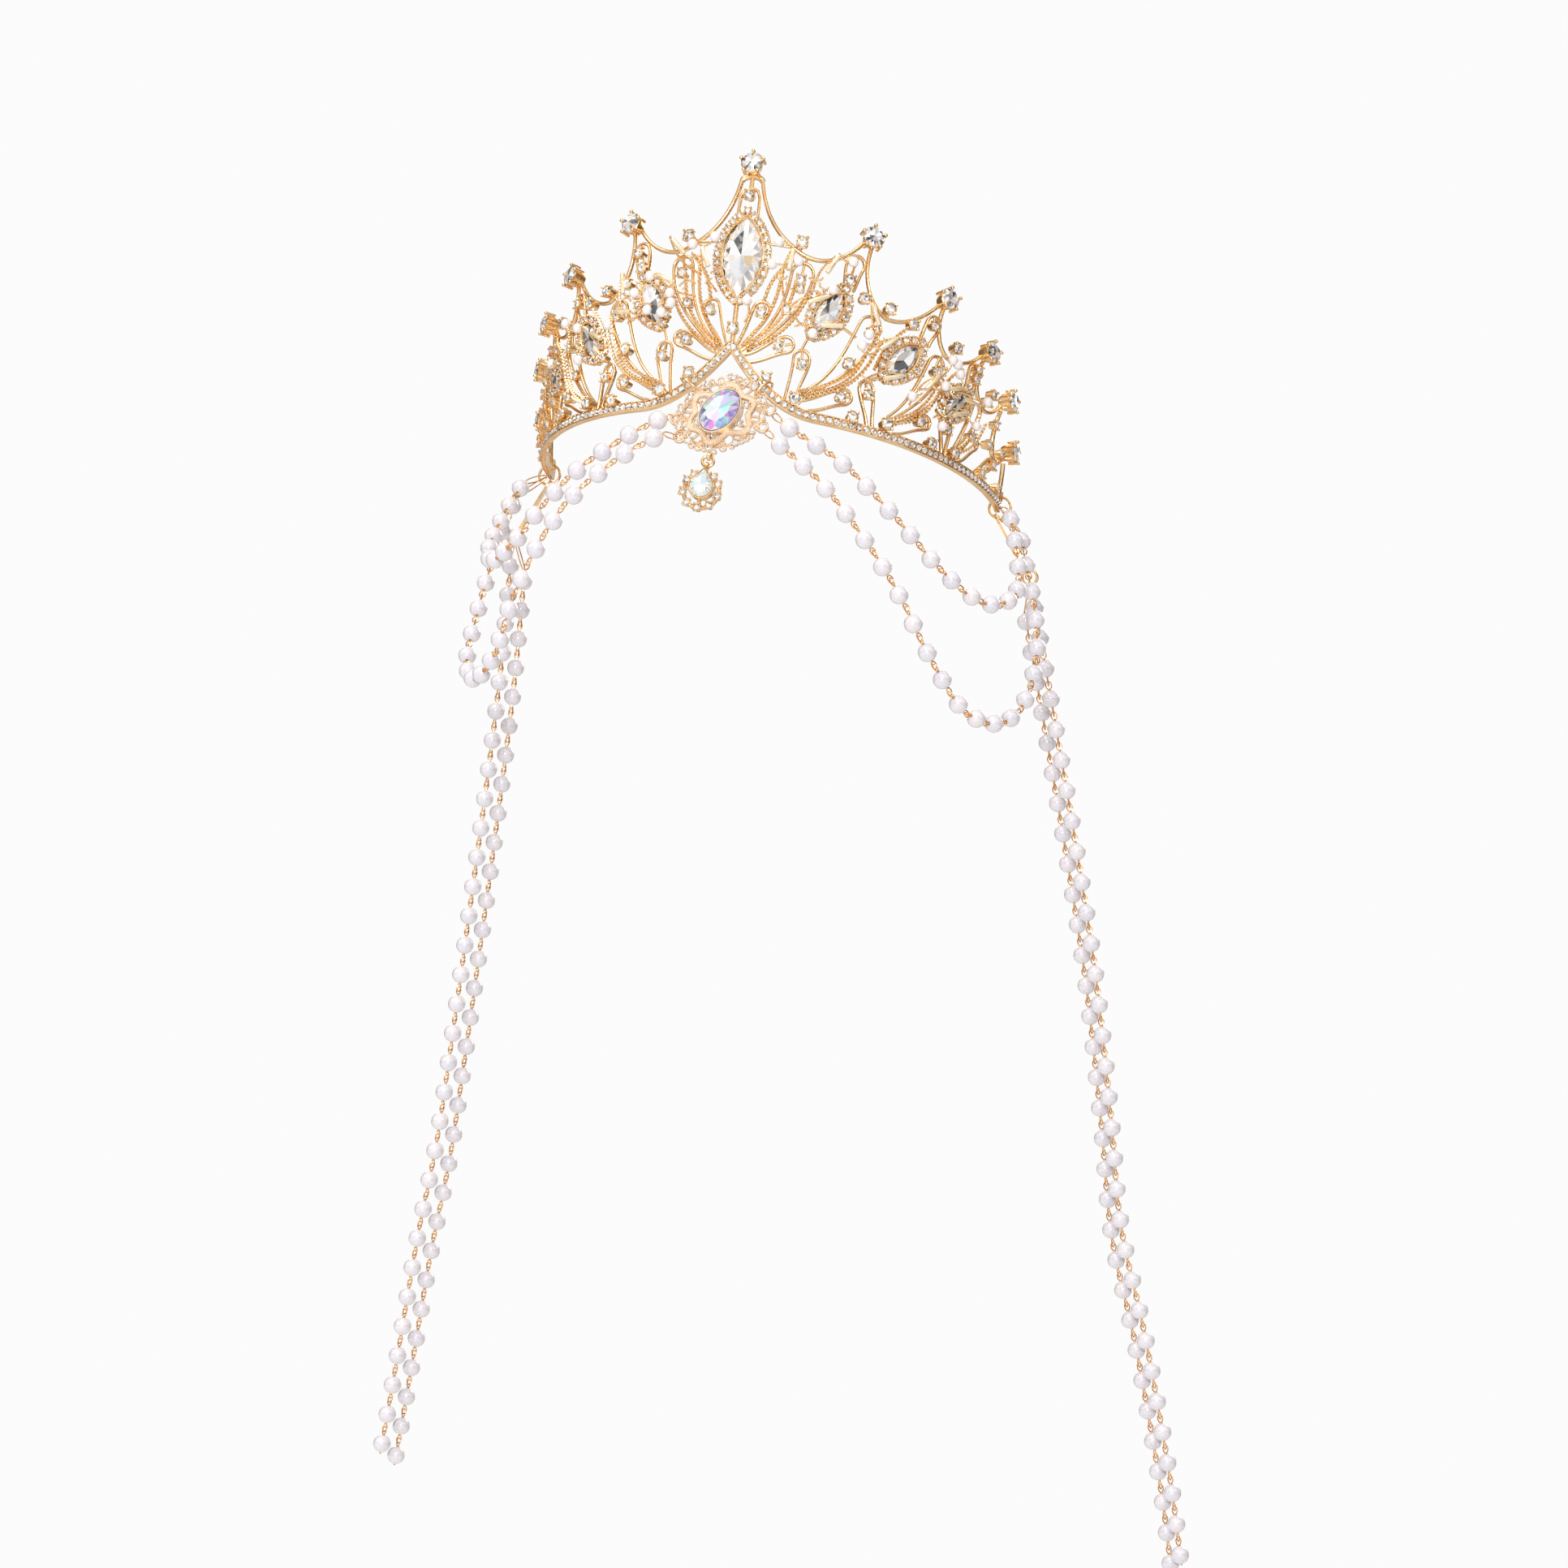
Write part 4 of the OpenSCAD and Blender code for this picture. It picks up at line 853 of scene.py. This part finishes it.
plate = Hanging((0.5, -81.8, -2.7), -8.7)
grain = turned_round([(0.35, -0.9), (0.9, -0.4), (0.9, 0.4), (0.35, 0.9)], 6)
half_edge = np.array([(0.5, 12), (7.6, 10.9), (11.8, 7.1), (12.9, 2), (11.2, -3.2), (7.1, -8.1)])
edge_stones = np.concatenate([half_edge, -half_edge])
half_petals = np.array([(6.9, 4.5), (6.5, -1.8), (0.6, 8)])
petal_stones = np.concatenate([half_petals, -half_petals])
eyes = np.array([(14.2, 5), (13.6, -1), (-13.9, -4.7), (-11.2, -10)])
round_bar = bar_profile(0.8, 1.1, 0.3)
fine_bar = bar_profile(0.5, 1.0, 0.18)
rim_bar = bar_profile(0.34, 0.5, 0.12)
brooch = [plate.bar(edge_line(), bar_profile(0.9, 1.2, 0.35), 0.9),
    plate.bar(petal_line(0.7), bar_profile(1.9, 1.5, 0.3), 1.75),
    plate.bar(petal_line(-0.1), rim_bar, 2.55),
    plate.bar(petal_line(1.5), rim_bar, 2.55),
    plate.bar(spun(oval(12.2, 8.2, 40), stone_turn), bar_profile(3.6, 0.8, 0.2), 0.9),
    plate.bar(spun(oval(15.7, 11.1, 48), stone_turn), bar_profile(0.5, 4.2, 0.15), 3.2)]
for here, after in zip(edge_stones, np.roll(edge_stones, -1, 0)):
    outward = unit(here)
    bearing = np.degrees(np.arctan2(outward[1], outward[0]))
    cross = np.array([-outward[1], outward[0]])
    for hand in (1, -1):
        curl = scroll(*(here + 1.75 * hand * cross + 0.35 * outward), 1.15, bearing - 170 * hand, 400 * hand)
        brooch.append(plate.bar(curl, fine_bar, 1.5, closed=False))
    middle = (here + after) / 2
    brooch.append(plate.bar(np.array([here * 0.93, here * 0.62]), round_bar, 1.0, closed=False))
    brooch.append(plate.bar(np.array([middle * 1.06, middle * 0.7]), fine_bar, 1.1, closed=False))
    if np.linalg.norm(after - here) > 5.6:
        brooch.append(plate.bar(ring_line(*(middle * 1.06), 1.0), fine_bar, 1.2))
    brooch.append(plate.bar(ring_line(*(middle * 0.9), 0.75), fine_bar, 1.4))
for x, y in eyes:
    brooch.append(plate.bar(ring_line(x, y, 1.7), bar_profile(0.8, 1.5, 0.25), 0.8))
for here in petal_stones:
    brooch.append(plate.bar(np.array([here, here * 0.72]), fine_bar, 1.3, closed=False))
for inset in (0.4, 1.0):
    brooch.append(plate.beads(petal_line(inset), 0.6, 0.22, 2.5))
brooch.append(plate.beads(edge_line(), 1.3, 0.36, 1.55))
brooch.append(plate.eye(0, -13.9))
edge_metal, edge_set = plate.set(edge_stones, 1.6, 1.05)
petal_metal, petal_set = plate.set(petal_stones, 1.2, 0.95)
cream_gilt = gilding("cream gilt", (0.98, 0.83, 0.66), (0.94, 0.73, 0.52), 0.2, 1400.0)
piece("brooch", joined([*brooch, edge_metal, petal_metal]), cream_gilt,
    stands_for=["brooch_frame"])
piece("brooch_small_stones", joined([edge_set, petal_set]), bright, smooth=0, reflection_seed=31)
# The stops are painted reflections on the facets: the rainbow coating's play of colour, with dark and white.
rainbow = crystal("rainbow coated glass", (0.0, (0.16, 0.16, 0.3)), (0.12, (0.4, 0.35, 0.85)),
    (0.24, (0.3, 0.7, 0.85)), (0.38, (0.55, 0.95, 0.85)), (0.5, (0.95, 0.98, 1.0)), (0.7, (0.8, 0.9, 1.0)),
    (0.82, (0.7, 0.5, 1.0)), (0.92, (0.95, 0.3, 0.75)))
# Its table slices get painted reflections given one by one, in the colours of the coating's play.
piece("brooch_stone_cut", brilliant(oval(15.1, 10.5, 14), 0.62, 1.9, 1.6).repeated(plate.at((0, 0), 5.3),
    turned(plate.axes, stone_turn)), rainbow, smooth=0, reflection_seed=6,
    shown_reflections=(0.36, 0.88, 0.55, 0.5, 0.62, 0.93, 0.3), stands_for=["brooch_stone"])


# Drop
# A pear stone in a thin cup hangs from the brooch on a jump ring. A crescent of nine small stones, open at
# the top, goes round it.
def pear(length, width):
    """A round end with two straight sides that meet in a point above it."""
    r = width / 2
    top = length - r
    q = np.arcsin(r / top)
    a = np.linspace(np.pi - q, 2 * np.pi + q, 15)
    return np.concatenate([[[0, top]], r * np.column_stack([np.cos(a), np.sin(a)])])


pear_down = 8.7
crescent_down = pear_down + 1.2
drop_plane = Hanging(plate.at((0, -15.7))[0], -4)
crescent = np.radians(np.array([-147, -118, -78, -39, 0, 39, 78, 118, 147]) - 90)
crescent_places = 5.7 * np.column_stack([np.cos(crescent), np.sin(crescent)]) - [0, crescent_down]
metal, crescent_stones = drop_plane.set(crescent_places, 0.9, 1.12)
q = np.linspace(crescent[0], crescent[-1], 40)
crescent_line = 5.6 * np.column_stack([np.cos(q), np.sin(q)]) - [0, crescent_down]
stem = bar_profile(1.2, 1.2, 0.2)
drop = [metal, drop_plane.bar(crescent_line, bar_profile(1.3, 1.2, 0.3), 0.65, closed=False),
    drop_plane.bar(pear(9.9, 8.0) - [0, pear_down], bar_profile(0.5, 3.0, 0.15), 1.5),
    drop_plane.bar(ring_line(0, -pear_down, 3.2, 20), bar_profile(1.6, 0.8, 0.2), 0.5),
    drop_plane.bar(np.array([(0, -3.4), (0, -5.6)]) - [0, pear_down], stem, 0.7, closed=False),
    drop_plane.bar(np.array([(0, 5.9), (0, 4.4)]) - [0, pear_down], stem, 0.8, closed=False),
    drop_plane.eye(0, 6.9 - pear_down)]
piece("drop", joined(drop), gilt, stands_for=["drop_frame"])
piece("drop_small_stones", crescent_stones, bright, smooth=0, reflection_seed=2)
# The stops are painted reflections on the facets: pale blue, white and a hint of green.
ice = crystal("pale foiled glass", (0.0, (0.3, 0.42, 0.5)), (0.12, (0.62, 0.78, 0.84)),
    (0.3, (0.9, 0.96, 0.98)), (0.6, (1.0, 1.0, 1.0)), (0.92, (0.82, 0.93, 0.88)))
piece("drop_stone_cut", brilliant(pear(9.2, 7.4), 0.62, 1.4, 1.8).repeated(drop_plane.at((0, -pear_down), 3),
    drop_plane.axes), ice, smooth=0, reflection_seed=4, stands_for=["drop_stone"])


# Rings and clasps
# Round jump rings of gilt wire carry the brooch, the drop and the chains. A flat clasp hangs from the ring at
# each end of the band, and the long strands hang from its tail ring.
for name in ("brooch_ring_right", "brooch_ring_left", "drop_ring", "end_ring_right", "end_ring_left",
        "clasp_right", "clasp_left", "tail_ring_right", "tail_ring_left"):
    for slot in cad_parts[name].material_slots:
        slot.material = gilt
eye_bar = bar_profile(1.0, 1.4, 0.25)
end_eyes = [on_wall(ring_line(side * 126.4, 4.6, 1.9), eye_bar, closed=True) for side in (1, -1)]
piece("end_eyes", joined(end_eyes), gilt)


# Pearl chains
# Round glass pearls of 6 mm, drilled and threaded on eye pins of thin gilt wire. The loops between two pearls
# link into each other. Two swags a side run from the brooch to the ends of the band, and two long strands
# hang from each clasp.
# Columns: angle in degrees round the crown from the front, height, distance from the crown's axis
swags = {
    "upper_right": [(15.2, -5.6, 86), (26.7, -14.8, 89.1), (37, -26.6, 91.7), (47, -38, 93.3),
        (52.5, -42.3, 93.7), (58.1, -44.8, 93.9), (65, -44.4, 94.2), (70.6, -40.3, 94.8), (75.4, -34, 93.6),
        (77.8, -24.9, 91.4), (79, -15.2, 88.4), (81.4, -6.8, 84.8)],
    "upper_left": [(13, -6.4, 86.4), (19.3, -12.5, 88.4), (29.5, -23.8, 91.2), (38.2, -36.8, 93.1),
        (42.1, -42.5, 93.2), (48.1, -45.6, 92.4), (54.4, -46.3, 91.4), (60.4, -44.4, 90.8),
        (65.7, -38.8, 90.4), (70.7, -32.3, 89.4), (75.4, -24.6, 87.9), (80, -16, 86.4), (84, -7.4, 84.6)],
    "lower_right": [(13.8, -12.4, 88.4), (23.1, -23.6, 91.1), (32.6, -38.7, 93.3), (41, -53.6, 94.5),
        (48.2, -68, 95.2), (56.8, -79.8, 95.5), (62.9, -82.6, 95.6), (69, -81.8, 96), (74.5, -77.7, 97.2),
        (78.1, -70, 99.1), (80, -60, 99.8), (81.6, -51, 99.1), (82.2, -41.1, 97.2), (82.4, -31.2, 94.6),
        (83.2, -21.8, 91.3), (85, -12.4, 88)],
    "lower_left": [(12.5, -13.2, 88.6), (19.1, -20.1, 90.4), (28.6, -33.2, 92.7), (35.2, -49.2, 94.2),
        (39.5, -65.6, 95), (41.6, -74, 94.4), (45.7, -79.7, 92), (51.5, -83.3, 90.2), (58, -84.8, 89.6),
        (64.3, -82.6, 90), (69.6, -77, 90.8), (73.8, -69.6, 91.4), (76.6, -60.4, 91), (79.6, -46, 90.2),
        (82.4, -30, 88.8), (85, -13.4, 86.6)]}
# Columns: distance to the side, distance to the back, height
strands = {
    "right": [(91.1, 16, -27.7), (96.2, 23, -46.5), (101.3, 30, -65.3), (111.5, 41, -103),
        (121.5, 52.4, -143), (130.5, 65, -187), (137, 76, -222), (148, 86, -256), (160, 98, -299),
        (166, 105, -325)],
    "left": [(91.1, 16, -27.7), (90, 20.6, -65), (90.5, 27, -103), (92, 36, -150), (93.5, 44, -193),
        (95, 50, -225), (98, 55.5, -256), (101, 64, -299), (103, 69, -325)]}


def smooth_path(points, k):
    """The smooth curve through points whose direction at each is half the step between its neighbours."""
    p = np.asarray(points, float)
    p = np.concatenate([p[:1], p, p[-1:]])
    t = (np.arange(k) / k)[None, :, None]
    a, b, c, d = [p[i:len(p) - 3 + i, None] for i in range(4)]
    square, cube = a - 2.5 * b + 2 * c - 0.5 * d, 1.5 * (b - c) + 0.5 * (d - a)
    curve = b + 0.5 * t * (c - a) + t ** 2 * square + t ** 3 * cube
    return np.concatenate([curve.reshape(-1, 3), p[-1:]])


pearl_radius, pearl_pitch, pearl_end = 3, 10.2, 2.6
link_middle, link_half = 4.55, 1.35  # from the pearl's middle, and from the link's own


def pearl_axes(path):
    """The pearls' places at steps of about their pitch along a path, and axes there with Z along the path."""
    count = round(path_length(path) / pearl_pitch)
    where, axes = riding(path, away(path), np.linspace(0, path_length(path), count + 1))
    return where, axes[:, [1, 2, 0]]


latitudes = np.radians(np.linspace(-77, 77, 10))
pearl = turned_round([(0.55, -pearl_end), *zip(pearl_radius * np.cos(latitudes), pearl_radius
    * np.sin(latitudes)), (0.55, pearl_end)], 16)
pin = turned_round([(0.24, -3.5), (0.24, 3.5)], 6)
collar = turned_round([(0.4, -3.35), (0.4, -2.8), (0.4, 2.8), (0.4, 3.35)], 6)
wire = 0.22 * np.column_stack([np.cos(2 * np.pi * np.arange(5) / 5), np.sin(2 * np.pi * np.arange(5) / 5)])


def loop(a, b, width=1.9, n=12):
    """A long loop of wire whose ends lie at a and b: an oval in the plane that faces away from the crown."""
    q = 2 * np.pi * np.arange(n) / n
    flat = unit(np.cross(b - a, (a + b) * [1, 1, 0]))
    path = (a + b) / 2 + np.outer(np.cos(q), (b - a) / 2) + np.outer(np.sin(q), flat * width / 2)
    return carried(path, np.cross(unit(b - a), flat) + 0 * path, wire, closed=True)


link = loop(np.array([0, 0.001, -link_half]), np.array([0, 0.001, link_half]))


def lustre():
    """Glass pearl: a white coat with a breath of rose and lilac that drifts from pearl to pearl, under
    lacquer, and a painted sheen that lightens it towards its edge."""
    paint, nodes = finish("pearl lustre")
    place = nodes.add("ShaderNodeTexCoord", out=3)
    drift = nodes.add("ShaderNodeTexNoise", {}, {"Vector": place, "Scale": 90.0, "Detail": 1.0})
    cloud = nodes.add("ShaderNodeTexNoise", {}, {"Vector": place, "Scale": 500.0, "Detail": 2.0})
    body = nodes.ramp(drift * 0.8 + cloud * 0.2, (0.35, (0.76, 0.75, 0.84)), (0.65, (0.85, 0.81, 0.86)))
    edge = nodes.add("ShaderNodeLayerWeight", {}, {"Blend": 0.4}, out=1)
    # Lighter towards the edge, by how the pearl faces the view: a painted sheen.
    skin = nodes.add("ShaderNodeBsdfPrincipled", {}, {
        "Base Color": nodes.mixed(edge, body, (1.0, 0.99, 1.0)), "Roughness": cloud * 0.05 + 0.22,
        "Metallic": 0.08, "Coat Weight": 1.0, "Coat Roughness": 0.08})
    nodes.add("ShaderNodeOutputMaterial", {}, {0: skin})
    return paint


pearl_coat = lustre()
chain_gilt = gilding("chain gilt", (0.95, 0.6, 0.28), (0.88, 0.48, 0.18), 0.12, 2000.0)


def middle_of(name):
    """The middle of a solid carried over from the frame, in millimetres."""
    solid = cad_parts[name]
    box = np.array([solid.matrix_world @ Vector(corner) for corner in solid.bound_box]) * 1000
    return (box.min(0) + box.max(0)) / 2


second_strand = [-3.4, 7, -3]
chains = {}
for name, rows in swags.items():
    height, side = name.split("_")
    turn, level, reach = np.transpose(rows) * [[np.pi / 180], [1], [1]]
    drape = np.column_stack([reach * np.sin(turn), -reach * np.cos(turn), level])
    chains[f"{height}_PART_{side}"] = smooth_path(drape, 6)
for side, rows in strands.items():
    chains[f"long_PART_a_{side}"] = smooth_path(rows, 4)
    chains[f"long_PART_b_{side}"] = smooth_path(np.array(rows) + second_strand, 4)
eye_of = {"upper_PART_right": 0, "lower_PART_right": 1, "upper_PART_left": 2, "lower_PART_left": 3}
for name, path in chains.items():
    side = name.split("_")[-1]
    where, axes = pearl_axes(path * [-1 if side == "left" else 1, 1, 1])
    first = link.repeated(where[:-1] + link_middle * axes[:-1, 2], axes[:-1])
    second = link.repeated(where[1:] - link_middle * axes[1:, 2], axes[1:][:, [1, 0, 2]] * [[[-1], [1], [1]]])
    hook_start = link_middle - link_half
    here = plate.at(eyes[eye_of[name]])[0] if name in eye_of else middle_of(f"tail_ring_{side}")
    hooks = [loop(where[0] - hook_start * axes[0, 2], here + unit(where[0] - here))]
    if name in eye_of:
        there = middle_of(f"end_ring_{side}")
        hooks.append(loop(where[-1] + hook_start * axes[-1, 2], there + 1.6 * unit(where[-1] - there)))
    piece(name.replace("PART", "beads"), pearl.repeated(where, axes), pearl_coat, smooth=50,
        stands_for=[name.replace("PART", "pearls")])
    metal = joined([pin.repeated(where, axes), collar.repeated(where, axes), first, second, *hooks])
    piece(name.replace("PART", "links"), metal, chain_gilt,
        stands_for=[name.replace("PART", "wire")])


def corners(box):
    """A box's two corners as plain numbers."""
    return [[float(v) for v in corner] for corner in box]
